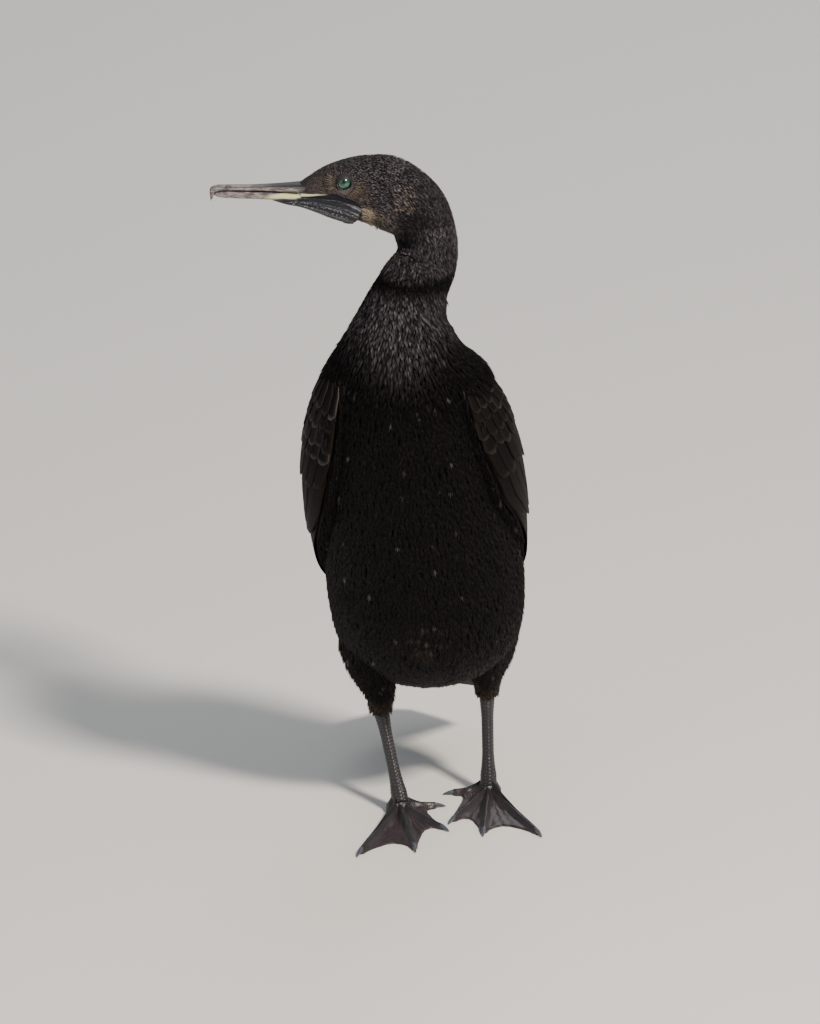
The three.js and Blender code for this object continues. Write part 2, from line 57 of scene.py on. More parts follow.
# Small helpers
def addNode(tree, kind, settings=None, inputs=None):  # one node with its settings, values and links
    made = tree.nodes.new(kind)
    for key, value in (settings or {}).items():
        setattr(made, key, value)
    for key, value in (inputs or {}).items():
        socket = made.inputs[key]
        if isinstance(value, bpy.types.NodeSocket):
            tree.links.new(value, socket)
        else:
            socket.default_value = value
    return made


def fromHex(code):  # sRGB hex to linear
    parts = [int(code[i:i + 2], 16) / 255 for i in (1, 3, 5)]
    return [p / 12.92 if p <= 0.04045 else ((p + 0.055) / 1.055) ** 2.4 for p in parts] + [1.0]


def startMaterial(name, roughness, specular, more=None):
    made = bpy.data.materials.new(name)
    made.use_nodes = True
    shader = made.node_tree.nodes["Principled BSDF"]
    for key, value in {"Roughness": roughness, "Specular IOR Level": specular, **(more or {})}.items():
        shader.inputs[key].default_value = value
    return made, made.node_tree


def dress(tree, colour, relief, strength=0.4, deepMm=0.4):  # colour and bump go to the shader
    shader = tree.nodes["Principled BSDF"]
    tree.links.new(colour, shader.inputs["Base Color"])
    if deepMm:
        bump = addNode(tree, "ShaderNodeBump", {},
                       {"Height": relief, "Strength": strength, "Distance": deepMm / 1000})
        tree.links.new(bump.outputs["Normal"], shader.inputs["Normal"])


def readMarks(tree, *names):  # the pieces' own numbers at each point
    return [addNode(tree, "ShaderNodeAttribute", {"attribute_name": name}).outputs["Fac"] for name in names]


def mottledFinish(name, look):  # two colours clouded into each other
    made, tree = startMaterial(name, look["roughness"], look["specular"])
    place = addNode(tree, "ShaderNodeTexCoord").outputs["Object"]
    cloud = addNode(tree, "ShaderNodeTexNoise", {},
                    {"Vector": place, "Scale": 1000 * look["perMm"], "Detail": look["detail"]}).outputs["Fac"]
    tone = addNode(tree, "ShaderNodeMix", {"data_type": "RGBA"},
                   {"Factor": cloud, 6: fromHex(look["dark"]), 7: fromHex(look["pale"])})
    dress(tree, tone.outputs[2], cloud, deepMm=look["deepMm"])
    return made


def unit(vectors):
    return vectors / np.linalg.norm(vectors, axis=-1, keepdims=True)


def square(vectors, out):  # what of each vector is square to out
    return vectors - out * (vectors * out).sum(-1, keepdims=True)


def lengthAlong(points):  # from the first point to each one
    return np.concatenate([[0], np.cumsum(np.linalg.norm(np.diff(points, axis=0), axis=1))])


def between(pair, share):
    return pair[0] + (pair[1] - pair[0]) * share


def hermite(u, start, end, slopeIn, slopeOut):  # a cubic from start to end, with its slopes
    return ((2 * u**3 - 3 * u**2 + 1) * start + (u**3 - 2 * u**2 + u) * slopeIn
            + (3 * u**2 - 2 * u**3) * end + (u**3 - u**2) * slopeOut)


def curveThrough(xs, ys, at):  # smooth, without overshoot; xs rise; level beyond both ends
    xs, ys, at = np.asarray(xs, float), np.asarray(ys, float), np.asarray(at, float)
    grade = np.diff(ys) / np.diff(xs)
    slope = np.concatenate([[grade[0]], np.zeros(len(xs) - 2), [grade[-1]]])
    for k in range(1, len(xs) - 1):
        if grade[k - 1] * grade[k] > 0:
            slope[k] = 2 * grade[k - 1] * grade[k] / (grade[k - 1] + grade[k])
    i = np.clip(np.searchsorted(xs, at, side="right") - 1, 0, len(xs) - 2)
    span = xs[i + 1] - xs[i]
    return hermite(np.clip((at - xs[i]) / span, 0, 1), ys[i], ys[i + 1], slope[i] * span, slope[i + 1] * span)


def smoothRows(rows, at):  # rows of numbers whose first column rises, read at new first values
    rows = np.asarray(rows, float)
    return np.stack([curveThrough(rows[:, 0], rows[:, k], at) for k in range(1, rows.shape[1])], 1)


def ease(value):  # 0 to 1 with soft ends
    v = np.clip(value, 0, 1)
    return v * v * (3 - 2 * v)


def ridge(value, middle, width, power=2):  # 1 on a line, falling off on both sides
    return np.exp(-(((value - middle) / width) ** power))


def loftFaces(rows, around, first=0):  # quads between closed rings of points
    r = np.arange(rows - 1)[:, None] * around
    j = np.arange(around)[None, :]
    k = (j + 1) % around
    return np.stack([r + j, r + k, r + around + k, r + around + j], -1).reshape(-1, 4) + first


def closedLoft(rings, first=0):  # points and faces of a loft with a point in the middle of both ends
    rows, around = rings.shape[:2]
    points = np.concatenate([rings.reshape(-1, 3), [rings[0].mean(0)], [rings[-1].mean(0)]])
    faces = loftFaces(rows, around, first).tolist()
    start, lastRow = first + rows * around, first + (rows - 1) * around
    for j in range(around):
        k = (j + 1) % around
        faces.append([start, first + k, first + j])
        faces.append([start + 1, lastRow + j, lastRow + k])
    return points, faces


def padded(values):  # the two middle points of the ends take their ring's value
    return np.concatenate([values.ravel(), [values[0].mean()], [values[-1].mean()]])


def storeMarks(mesh, marks):  # one number a point
    for key, values in marks.items():
        mesh.attributes.new(key, "FLOAT", "POINT").data.foreach_set("value", np.asarray(values, np.float32))


def addObject(name, data):
    made = bpy.data.objects.new(name, data)
    bpy.context.scene.collection.objects.link(made)
    return made


def makePiece(name, points, faces, finish, marks=None, uvs=None):
    mesh = bpy.data.meshes.new(name)
    mesh.from_pydata(toFrame(points).tolist(), [], faces)
    storeMarks(mesh, marks or {})
    for key, places in (uvs or {}).items():
        corners = np.zeros(len(mesh.loops), np.int32)
        mesh.loops.foreach_get("vertex_index", corners)
        layer = mesh.uv_layers.new(name=key)
        layer.data.foreach_set("uv", np.asarray(places, np.float32)[corners].ravel())
    work = bmesh.new()
    work.from_mesh(mesh)
    bmesh.ops.recalc_face_normals(work, faces=work.faces)
    work.to_mesh(mesh)
    work.free()
    mesh.materials.append(finish)
    mesh.polygons.foreach_set("use_smooth", np.ones(len(mesh.polygons), bool))
    return addObject(name, mesh)


def settle(piece, slotName, *nodes):  # every piece stands still on the one body
    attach(piece, "root")
    if nodes:
        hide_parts(*nodes)
    return piece


def settleLoft(name, rings, finish, marks, slotName, *nodes):  # a lofted piece with its marks, set on the body
    points, faces = closedLoft(rings)
    marks = {key: padded(np.broadcast_to(value, rings.shape[:2])) for key, value in marks.items()}
    settle(makePiece(name, points, faces, finish, marks), slotName, *nodes)


# The body's line from the bill's base over the head, down the neck and back to the tail: centre x, y, z,
# heading in degrees, then half-widths across, towards the back and towards the throat or belly.
bodyRows = {
    "bill base": (-99, 0, 508, 90, 8.6, 8.6, 9.6),
    "forehead": (-91, 0, 509.4, 90, 12, 13.2, 14),
    "brow": (-78, 0, 511, 90, 15.8, 19.8, 20.6),
    "eye": (-62, 0, 511.8, 90, 19.2, 25, 25.2),
    "cheek": (-46, 0, 511.8, 90, 21.3, 27.6, 27.2),
    "crown": (-31, 0, 509.6, 90, 22.4, 28.4, 28.6),
    "nape": (-10.5, 0, 495.5, 90, 22.4, 24.6, 26.2),
    "throat": (-1.5, -1, 471, 88, 21.2, 23, 23),
    "upper neck": (-3.8, -5, 453, 74, 22.5, 25, 25),
    "neck bend": (-12.5, -15, 437.5, 46, 28, 28, 29),
    "lower neck": (-19, -25, 420, 20, 35, 30, 31.5),
    "neck base": (-21.5, -33, 398, 4, 48, 34, 38),
    "shoulder": (-20.5, -31, 370, 0, 66, 43, 50),
    "upper breast": (-15.5, -22, 332, 0, 70.5, 56, 58),
    "breast": (-12, -10, 282, 0, 74, 61, 62),
    "belly": (-6, 6, 220, 0, 76.5, 62, 63),
    "flank": (-2.5, 18, 174, 0, 76, 58, 60),
    "thigh line": (-2, 33, 143, 0, 70, 50, 52),
    "vent": (-2, 52, 121, 0, 52, 33, 36),
    "rump": (-2, 73, 106, 0, 30, 18, 20),
    "tail base": (-2, 93, 95, 0, 20, 9, 9),
}
# The folded wings lie on a wider shell.
wingRows = {
    "shoulder": (-20, -34, 392, 0, 48, 32, 42),
    "wrist": (-20.5, -31, 364, 0, 63, 38, 54),
    "arm": (-17, -21, 326, 0, 76.5, 53, 60),
    "breast": (-12.6, -10, 278, 0, 82.5, 67, 66),
    "belly": (-6.3, 6, 215, 0, 79, 68, 66),
    "flank": (-2.5, 23, 165, 0, 68, 65, 60),
    "rump": (-2, 40, 126, 0, 50, 60, 50),
    "wing tips": (-2, 58, 88, 0, 33, 55, 40),
}


def lineThrough(rows):  # a fine table along a line of stations: centre, left, back and the half-widths
    values = np.array(list(rows.values()), float)
    last = len(values) - 1
    knots = lengthAlong(values[:, :3])
    order = np.arange(last + 1)
    low, high = np.maximum(order - 1, 0), np.minimum(order + 1, last)
    slope = (values[high] - values[low]) / (knots[high] - knots[low])[:, None]
    t = np.linspace(0, last, 100 * last + 1)
    i = np.minimum(t.astype(int), last - 1)
    u = (t - i)[:, None]
    span = (knots[i + 1] - knots[i])[:, None]
    start, end, slopeIn, slopeOut = values[i], values[i + 1], slope[i] * span, slope[i + 1] * span
    value = hermite(u, start, end, slopeIn, slopeOut)
    rate = ((6 * u**2 - 6 * u) * (start - end) + (3 * u**2 - 4 * u + 1) * slopeIn
            + (3 * u**2 - 2 * u) * slopeOut)
    ahead = -unit(rate[:, :3])
    turn = np.radians(value[:, 3])
    left = unit(square(np.stack([np.cos(turn), -np.sin(turn), 0 * turn], 1), ahead))
    back = np.cross(ahead, left)
    table = np.hstack([value[:, :3], left, back, value[:, 4:]])
    return {"t": t, "table": table, "length": lengthAlong(value[:, :3])}


def ringPoint(line, t, angle, lift=0.0):  # angle 0 is the back, 90 the bird's left; lift stands off it
    t, angle, lift = np.broadcast_arrays(*(np.asarray(v, float) for v in (t, angle, lift)))
    row = [np.interp(t, line["t"], line["table"][:, k])[..., None] for k in range(12)]
    centre, left, back = (np.concatenate(row[k:k + 3], -1) for k in (0, 3, 6))
    a = np.radians(angle)[..., None]
    up = lift[..., None]
    deep = np.where(np.cos(a) > 0, row[10], row[11]) + up
    return centre + back * np.cos(a) * deep + left * np.sin(a) * (row[9] + up)


bodyLine = lineThrough(bodyRows)
wingLine = lineThrough(wingRows)
faceEnd = 5.2  # the last place on the body's line that still runs level through the head


def headSurface(x, z, side, lift=0.0):  # the point of the head's side at x and z
    table, level = bodyLine["table"], bodyLine["t"] < faceEnd
    t = np.interp(x, table[level, 0], bodyLine["t"][level])
    middle, back, front = (np.interp(t, bodyLine["t"], table[:, k]) for k in (2, 10, 11))
    high = z - middle
    angle = np.degrees(np.arccos(np.clip(high / np.where(high > 0, back, front), -0.999, 0.999)))
    return ringPoint(bodyLine, t, side * angle, lift)


# The line of the mouth on the face, from the bill's base to its corner behind and below the eye.
mouthLine = {"x": [-100, -90, -82, -72, -65, -58, -53, -48.5],
             "z": [511, 511.8, 512.6, 513.1, 511, 508.3, 504.3, 502.5]}
eyeRim = {"x": -65.5, "z": 521.6, "long": 5.1, "high": 4.5}  # the opening between the lids


def mouthHeight(x):
    return curveThrough(mouthLine["x"], mouthLine["z"], x)


def fromEye(points):  # distance to the eye's middle, seen from the side
    return np.hypot(points[..., 0] - eyeRim["x"], points[..., 2] - eyeRim["z"])


# Marks of the plumage. An oval has a middle, radii and a strength, and is alike on both sides of the bird.
markOvals = {
    "lores": (((-76, 13, 519), (19, 12, 8), 1), ((-58, 18, 515), (13, 10, 8), 0.8)),
    "buff": (((-51, 17, 496), (6.5, 10, 7.5), 1), ((-49, 0, 486), (7, 17, 6), 1)),
    "speckle": (((-40, 17, 490), (13, 13, 9), 1), ((-23, 21, 510), (8, 8, 11), 0.7)),
    "darkEar": (((-14, 14, 492), (13, 16, 13), 0.55),),
    # painted shadow of the head on the neck, where the painted sheen of the band is taken out
    "headShadowOnNeck": (((-19, 14, 484), (13, 18, 12), 0.85),),
    "belly": (((-1, 0, 163), (13, np.inf, 17), 0.5),),
}
paintedSheenPlan = {  # where the painted sheen lies: heights and, for the wedge on the breast, x and the half-width at its tip and top
    "head": 476, "bandLow": 449, "bandHigh": 492, "wedgeTop": 448, "wedgeTip": 366, "wedgeMiddle": -25,
    "wedgeWidth": (12, 48),
}


def ovals(points, name):
    near = np.stack([points[..., 0], np.abs(points[..., 1]), points[..., 2]], -1)
    made = 0
    for centre, radii, strength in markOvals[name]:
        away = np.sqrt((((near - np.array(centre)) / np.array(radii)) ** 2).sum(-1))
        made = np.maximum(made, strength * ease(1.6 - away * 1.1))
    return made


def markings(points):  # the same marks for skin and plumes, from where a point lies on the bird
    x, y, z = points[..., 0], points[..., 1], points[..., 2]
    made = {name: ovals(points, name) for name in ("lores", "buff", "speckle", "belly")}
    made["belly"] = made["belly"] * (y < 30)
    plan, above = paintedSheenPlan, z - paintedSheenPlan["wedgeTip"]
    head = ease((z - plan["head"]) / 10) * (1 - ovals(points, "darkEar"))
    band = ease((z - plan["bandLow"]) / 7) * ease((plan["bandHigh"] - z) / 12)
    # the painted sheen of the band is taken out in the painted shadow of the head
    band = band * (1 - ovals(points, "headShadowOnNeck"))
    wedge = between(plan["wedgeWidth"], ease(above / 75))
    breast = ease(above / 45) * ease((plan["wedgeTop"] - z) / 12) * ridge(x, plan["wedgeMiddle"], wedge)
    # painted sheen on the head, the band on the neck and the front of the wedge on the breast
    made["paintedSheen"] = np.clip(0.8 * head + band + 1.1 * breast * ease((-y - 12) / 22), 0, 1.4)
    drop = mouthHeight(x) - z  # below the line of the mouth
    made["bare"] = ease((drop + 0.2) / 0.8) * (x < -49) * (z > 470)  # under the pouch
    stripe = ease((2.9 - 0.11 * (x + 98) - drop) / 0.8) * ease((-76 - x) / 6) * ease((drop - 0.1) / 0.5)
    made["cream"] = made["bare"] * stripe
    return made


def plumeMarks(points, rng):  # the same marks, broken up plume by plume
    marks, chance = markings(points), rng.uniform(0, 1, (4, len(points)))
    paintedSheen = marks["paintedSheen"] * (0.12 + 1.15 * chance[0] ** 1.7)
    speckled = 0.3 * (chance[2] < 0.55 * marks["speckle"])
    return {"paintedSheen": np.where(chance[1] < 0.006, 0.55, paintedSheen),  # a few loose tips get a painted glint
            "buff": np.maximum(marks["buff"] * (0.55 + 0.5 * chance[2]), speckled),
            "lores": marks["lores"] * (0.35 + 0.75 * chance[1]),
            "belly": marks["belly"] * (chance[3] < 0.3) * (0.4 + chance[0])}


# Plumage: barbs of keratin with melanin, black with a dull gloss. A greyish-purple painted sheen, standing for
# light raking the loose tips, is mixed into the colour, strongest on the head, the band on the neck and the wedge
# on the breast.
plumageLook = {"deep": "#040405", "warm": "#0f0c0b", "roughness": 0.55, "specular": 0.13, "grainPerMm": 0.9,
               "patchPerMm": 0.06}
markLook = {  # colour, strength, and how dull the dullest plume is; the first mark is a painted sheen
    "paintedSheen": ("#8a828a", 0.85, 0.5), "lores": ("#5b5049", 0.8, 0.5), "buff": ("#b9aa94", 1.0, 0.5),
    "belly": ("#5d4f45", 0.8, 0.5), "bare": ("#1b1d24", 1.0, 0.9), "cream": ("#dcd8ae", 1.0, 0.9),
}


def plumageFinish(name, tips):
    made, tree = startMaterial(name, plumageLook["roughness"], plumageLook["specular"])
    place = addNode(tree, "ShaderNodeTexCoord").outputs["Object"]
    tone, *marks = readMarks(tree, "tone", *markLook)
    grain, patchy = (addNode(tree, "ShaderNodeTexNoise", {},
                             {"Vector": place, "Scale": 1000 * plumageLook[key], "Detail": 2.0}).outputs["Fac"]
                     for key in ("grainPerMm", "patchPerMm"))
    blend = addNode(tree, "ShaderNodeMath", {"operation": "MULTIPLY_ADD"}, {0: tone, 1: 0.7, 2: patchy})
    share = addNode(tree, "ShaderNodeMapRange", {},
                    {"Value": blend.outputs[0], "From Min": 0.45, "From Max": 1.25})
    deep, warm = fromHex(plumageLook["deep"]), fromHex(plumageLook["warm"])
    mixed = addNode(tree, "ShaderNodeMix", {"data_type": "RGBA"}, {"Factor": share.outputs[0], 6: deep, 7: warm})
    # where the painted sheen shows: in the grain, or towards the plume tips
    paintedSheenShows = grain
    if tips:  # the painted sheen shows towards the tips of the plumes, along each one's own length
        vane = addNode(tree, "ShaderNodeUVMap", {"uv_map": "vane"})
        apart = addNode(tree, "ShaderNodeSeparateXYZ", {}, {"Vector": vane.outputs["UV"]})
        paintedSheenShows = addNode(tree, "ShaderNodeMapRange", {},
                             {"Value": apart.outputs["Y"], "From Min": 0.25, "From Max": 0.95}).outputs[0]
    for (key, (code, strength, dullest)), mark in zip(markLook.items(), marks):
        varied = addNode(tree, "ShaderNodeMapRange", {}, {"Value": tone, "To Min": dullest, "To Max": 1.1})
        much = mark
        for times in (varied.outputs[0], strength) + ((paintedSheenShows,) if key == "paintedSheen" else ()):
            much = addNode(tree, "ShaderNodeMath", {"operation": "MULTIPLY"}, {0: much, 1: times}).outputs[0]
        mixed = addNode(tree, "ShaderNodeMix", {"data_type": "RGBA"},
                        {"Factor": much, 6: mixed.outputs[2], 7: fromHex(code)})
    dress(tree, mixed.outputs[2], grain, 0.35, 0.6)
    return made


plumeKeratin = plumageFinish("Melanin_keratin_plumes", True)  # soft black barbs, with a painted sheen on their tips
plumedSkin = plumageFinish("Skin_under_plumes", False)  # dull and dark between them, with the same marks

# The skin: one closed surface from the bill's base to the tail with both thighs in it.
skinShape = {"around": 168, "at": [0, 1, 3, 6, 9, 11.3, 13, 17, 20],
             "depth": [0.3, 0.7, 1.0, 1.5, 2.0, 2.6, 3.2, 3.2, 2.0]}  # how far it lies under the plumage
legShape = {
    1: {"joint": (45.4, 42), "heel": (44.2, 60, 80), "hip": (42, 36, 150)},
    -1: {"joint": (-24, 5), "heel": (-38.2, 31, 77), "hip": (-46, 24, 146)},
}


def coatDepth(t):
    return np.interp(t, skinShape["at"], skinShape["depth"])


def faceRelief(points):  # sockets, brows and the fold of the mouth, pushed in or out of the head's sides
    x, y, z = points[..., 0], points[..., 1], points[..., 2]
    away = fromEye(points)
    socket, brow = -2.4 * ridge(away, 0, 5.6, 4), 0.55 * ridge(away, 8.6, 2.2) * (z > eyeRim["z"] - 2)
    fold = z - mouthHeight(x)
    along = ease((x + 100) / 4) * ease((-47 - x) / 3)
    push = socket + brow + along * (0.6 * ridge(fold, 1.7, 1.0) - 0.9 * ridge(fold, 0, 0.7))
    moved = points.copy()
    moved[..., 1] += np.sign(y) * push * ease((np.abs(y) - 6) / 5) * (x < -40)
    return moved


def limbRings(sections, around, rows):  # oval rings at x, y, z, with half-widths across and fore and aft
    sections = np.asarray(sections, float)
    reach = lengthAlong(sections[:, :3])
    table = smoothRows(np.column_stack([reach, sections]), np.linspace(0, reach[-1], rows))
    along = unit(np.gradient(table[:, :3], axis=0))
    across = unit(np.array([1.0, 0, 0]) - along * along[:, :1])
    front = np.cross(along, across)
    a = np.linspace(0, 2 * np.pi, around, endpoint=False)[None, :, None]
    rings = (table[:, None, :3] + across[:, None] * np.cos(a) * table[:, None, 3:4]
             + front[:, None] * np.sin(a) * table[:, None, 4:5])
    return rings, table, across, front


def thighSections(side, less):
    x, y, z = legShape[side]["heel"]
    hx, hy, hz = legShape[side]["hip"]
    rows = [(0, 0, 28, 30), (0.35, 0.35, 23, 26), (0.68, 0.7, 14, 17)]
    made = [(hx + (x - hx) * s, hy + (y - hy) * q, hz + (z - hz) * s, a - less, b - less)
            for s, q, a, b in rows]
    return made + [(x, y, z + 9, 9.8 - less * 0.6, 11.4 - less * 0.6), (x, y, z - 1, 6.6, 7.8)]


rowsAlong = np.concatenate([np.linspace(0, 5.6, 120, endpoint=False),  # closest together on the face
                            np.linspace(5.6, 11, 60, endpoint=False), np.linspace(11, 20, 110)])
anglesAround = np.arange(skinShape["around"]) * 360 / skinShape["around"]
skinRings = ringPoint(bodyLine, rowsAlong[:, None], anglesAround[None, :], -coatDepth(rowsAlong)[:, None])
skin = makePiece("skin", *closedLoft(faceRelief(skinRings)), plumedSkin)
thighs = []
for side, _ in sides:
    thigh = makePiece("thighSkin", *closedLoft(limbRings(thighSections(side, 3.0), 48, 40)[0]), plumedSkin)
    union = skin.modifiers.new("thigh", "BOOLEAN")
    union.operation, union.solver, union.object = "UNION", "EXACT", thigh
    thighs.append(thigh)
joined = bpy.data.meshes.new_from_object(skin.evaluated_get(bpy.context.evaluated_depsgraph_get()))
skin.modifiers.clear()
skin.data = joined
for thigh in thighs:
    bpy.data.objects.remove(thigh)
flat = np.zeros(len(joined.vertices) * 3)
joined.vertices.foreach_get("co", flat)
marks = markings(flat.reshape(-1, 3) * 1000 - shift)
storeMarks(joined, {**{key: marks[key] for key in markLook}, "tone": np.full(len(marks["paintedSheen"]), 0.35)})
settle(skin, "plumage", "head", "neck_upper", "neck_lower", "torso", "thigh_left", "thigh_right")
print("skin", len(joined.polygons), "faces")


# Plumes: one small closed vane with loose barbs at its end, set on every root by Geometry Nodes.
def plumeShape(name, stops, barbs, bend):
    # stops: share along and half-width; barbs: from x, y to x, y, and half-width
    points, faces = [], []

    def rise(y):
        return bend * math.sin(min(y, 1.1) * math.pi * 0.62)

    def addTube(root, stations, tip):  # stations: x, y, half-width, thickness above and below
        first = len(points)
        points.append(root)
        for x, y, w, edge, up, down in stations:
            points.extend([(x - w, y, rise(y) - edge), (x, y, rise(y) + up),
                           (x + w, y, rise(y) - edge), (x, y, rise(y) - down)])
        points.append(tip)
        last = len(points) - 5
        for j in range(4):
            k = (j + 1) % 4
            faces.append([first, first + 1 + k, first + 1 + j])
            for a in range(first + 1, last, 4):
                faces.append([a + j, a + k, a + 4 + k, a + 4 + j])
            faces.append([len(points) - 1, last + j, last + k])

    addTube((0, stops[0][0], 0), [(0, y, w, 0.012, 0.03, 0.03) for y, w in stops[1:-1]],
            (0, stops[-1][0], rise(stops[-1][0])))
    for x0, y0, x1, y1, w in barbs:
        addTube((x0, y0, rise(y0)), [(x0 + (x1 - x0) * 0.4, y0 + (y1 - y0) * 0.45, w, 0, 0.024, 0.014)],
                (x1, y1, rise(y1) + 0.01))
    mesh = bpy.data.meshes.new(name)
    mesh.from_pydata(points, [], faces)
    layer = mesh.uv_layers.new(name="vane")
    for loop in mesh.loops:
        x, y, _ = points[loop.vertex_index]
        layer.data[loop.index].uv = (min(1, max(0, x + 0.5)), min(1, max(0, y)))
    mesh.polygons.foreach_set("use_smooth", np.ones(len(mesh.polygons), bool))
    return addObject(name, mesh)


def startTree(name, kinds):  # a Geometry Nodes tree with named inputs
    tree = bpy.data.node_groups.new(name, "GeometryNodeTree")
    for label, kind in {"Roots": "Geometry", "Seed": "Int", "Finish": "Material", **kinds}.items():
        tree.interface.new_socket(label, in_out="INPUT", socket_type="NodeSocket" + kind)
    tree.interface.new_socket("Grown", in_out="OUTPUT", socket_type="NodeSocketGeometry")
    return tree, addNode(tree, "NodeGroupInput").outputs


def plumeTree():  # instances of one plume on every root, realised, with the bake patch and the finish
    tree, given = startTree("plumes_on_roots", {"Plume": "Object", "Patch width": "Float"})
    vectors = {"data_type": "FLOAT_VECTOR"}
    turn, size, root, vane = (addNode(tree, "GeometryNodeInputNamedAttribute", vectors, {"Name": name}).outputs[0]
                              for name in ("turn", "size", "rootPlace", "vane"))
    plume = addNode(tree, "GeometryNodeObjectInfo", {}, {"Object": given["Plume"]})
    spin = addNode(tree, "FunctionNodeEulerToRotation", {}, {"Euler": turn})
    planted = addNode(tree, "GeometryNodeInstanceOnPoints", {},
                      {"Points": given["Roots"], "Instance": plume.outputs["Geometry"],
                       "Rotation": spin.outputs[0], "Scale": size})
    chance = addNode(tree, "FunctionNodeRandomValue", {"data_type": "FLOAT"}, {"Seed": given["Seed"]})
    toned = addNode(tree, "GeometryNodeStoreNamedAttribute", {"data_type": "FLOAT", "domain": "INSTANCE"},
                    {"Geometry": planted.outputs[0], "Name": "tone", "Value": chance.outputs[1]})
    real = addNode(tree, "GeometryNodeRealizeInstances", {}, {"Geometry": toned.outputs[0]})
    inner = addNode(tree, "ShaderNodeVectorMath", {"operation": "SUBTRACT"}, {0: vane, 1: (0.5, 0.5, 0)})
    small = addNode(tree, "ShaderNodeVectorMath", {"operation": "SCALE"},
                    {0: inner.outputs[0], "Scale": given["Patch width"]})
    patch = addNode(tree, "ShaderNodeVectorMath", {"operation": "ADD"}, {0: root, 1: small.outputs[0]})
    baked = addNode(tree, "GeometryNodeStoreNamedAttribute", {"data_type": "FLOAT2", "domain": "CORNER"},
                    {"Geometry": real.outputs[0], "Name": "OFBake", "Value": patch.outputs[0]})
    finished = addNode(tree, "GeometryNodeSetMaterial", {},
                       {"Geometry": baked.outputs[0], "Material": given["Finish"]})
    addNode(tree, "NodeGroupOutput", {}, {"Grown": finished.outputs[0]})
    return tree


plumesOnRoots = plumeTree()
patchWidth = 0.003  # of one plume, on the unwrap for the bake


def grow(name, tree, roots, chosen, slotName, vectors, marks):  # the tree's result on the roots, a plain mesh
    mesh = bpy.data.meshes.new(name + "Roots")
    mesh.from_pydata(toFrame(roots).tolist(), [], [])
    for key, values in vectors.items():
        layer = mesh.attributes.new(key, "FLOAT_VECTOR", "POINT")
        layer.data.foreach_set("vector", values.astype(np.float32).ravel())
    storeMarks(mesh, marks)
    made = addObject(name, mesh)
    modifier = made.modifiers.new("grown", "NODES")
    modifier.node_group = tree
    for item in tree.interface.items_tree:
        if item.in_out == "INPUT" and item.name in chosen:
            modifier[item.identifier] = chosen[item.name]
    grown = bpy.data.meshes.new_from_object(made.evaluated_get(bpy.context.evaluated_depsgraph_get()))
    made.modifiers.clear()
    made.data = grown
    grown.name = name
    for key in vectors:
        if key in grown.attributes:
            grown.attributes.remove(grown.attributes[key])
    while grown.materials[0] is None:  # the roots had no finish, which leaves an empty slot in front
        grown.materials.pop(index=0)
    print(name, len(roots), "roots", sum(len(p.vertices) - 2 for p in grown.polygons), "triangles")
    settle(made, slotName)


def plant(name, plume, roots, along, out, tilt, width, length, places, marks, seed, thick=1.0):
    # along and out: where each plume points and faces; places: its root on the unwrap for the bake
    tilt = np.broadcast_to(tilt, len(roots))[:, None]
    yAxis = unit(along * np.cos(tilt) + out * np.sin(tilt))
    xAxis = unit(np.cross(yAxis, out))
    zAxis = np.cross(xAxis, yAxis)
    turn = np.stack([np.arctan2(yAxis[:, 2], zAxis[:, 2]), -np.arcsin(np.clip(xAxis[:, 2], -1, 1)),
                     np.arctan2(xAxis[:, 1], xAxis[:, 0])], 1)
    vectors = {"turn": turn, "size": np.column_stack([width, length, length * thick]) / 1000,
               "rootPlace": np.column_stack([*places, np.zeros(len(roots))])}
    chosen = {"Plume": plume, "Patch width": patchWidth, "Seed": seed, "Finish": plumeKeratin}
    grow(name, plumesOnRoots, roots, chosen, "plumage", vectors,
         {key: marks.get(key, np.zeros(len(roots))) for key in markLook})


def inside(share):  # keeps off the edges of the unwrap
    return 0.01 + 0.98 * share


# Coat: how long, wide and far apart the plumes are at each place along the body's line.
coatPlan = {
    "at": [0, 1.5, 3, 5, 6.5, 8, 9.5, 11.3, 13, 15, 18, 20],
    "length": [1.8, 2.2, 3.0, 3.8, 4.6, 5.8, 7.8, 10, 12, 13.5, 14, 13],
    "width": [0.7, 0.8, 1.0, 1.2, 1.4, 1.6, 2.0, 2.6, 3.3, 3.8, 4.2, 4],
    "apart": [0.9, 0.95, 1.15, 1.35, 1.5, 1.7, 1.95, 2.3, 2.6, 2.8, 2.9, 2.8],
    "jitter": 0.3, "rowShare": 0.86, "stray": 0.13, "throatLonger": 0.5, "throatTilt": 0.4,
}
wingFront = [126, 131, 133, 124, 92, 70, 48, 30]  # angle of the front edge at each wing station
wingBack = [16, 13, 9, 6.5, 5.5, 5, 4.5, 4]  # angle of the edge along the spine
wingHeights = [row[2] for row in wingRows.values()]


def coatAt(key, t):
    return np.interp(t, coatPlan["at"], coatPlan[key])


def bodyFrames(t, angle):  # axes of the skin: along the lie towards the tail, and outwards
    after, before = np.minimum(t + 0.02, 20), np.maximum(t - 0.02, 0)
    along = ringPoint(bodyLine, after, angle) - ringPoint(bodyLine, before, angle)
    around = ringPoint(bodyLine, t, angle + 0.5) - ringPoint(bodyLine, t, angle - 0.5)
    return unit(along), unit(np.cross(around, along))


def jittered(count, row, rng):  # shares of a row, staggered from row to row
    jitter = coatPlan["jitter"]
    return np.arange(count) + 0.5 * (row % 2) + rng.uniform(-jitter, jitter, count)


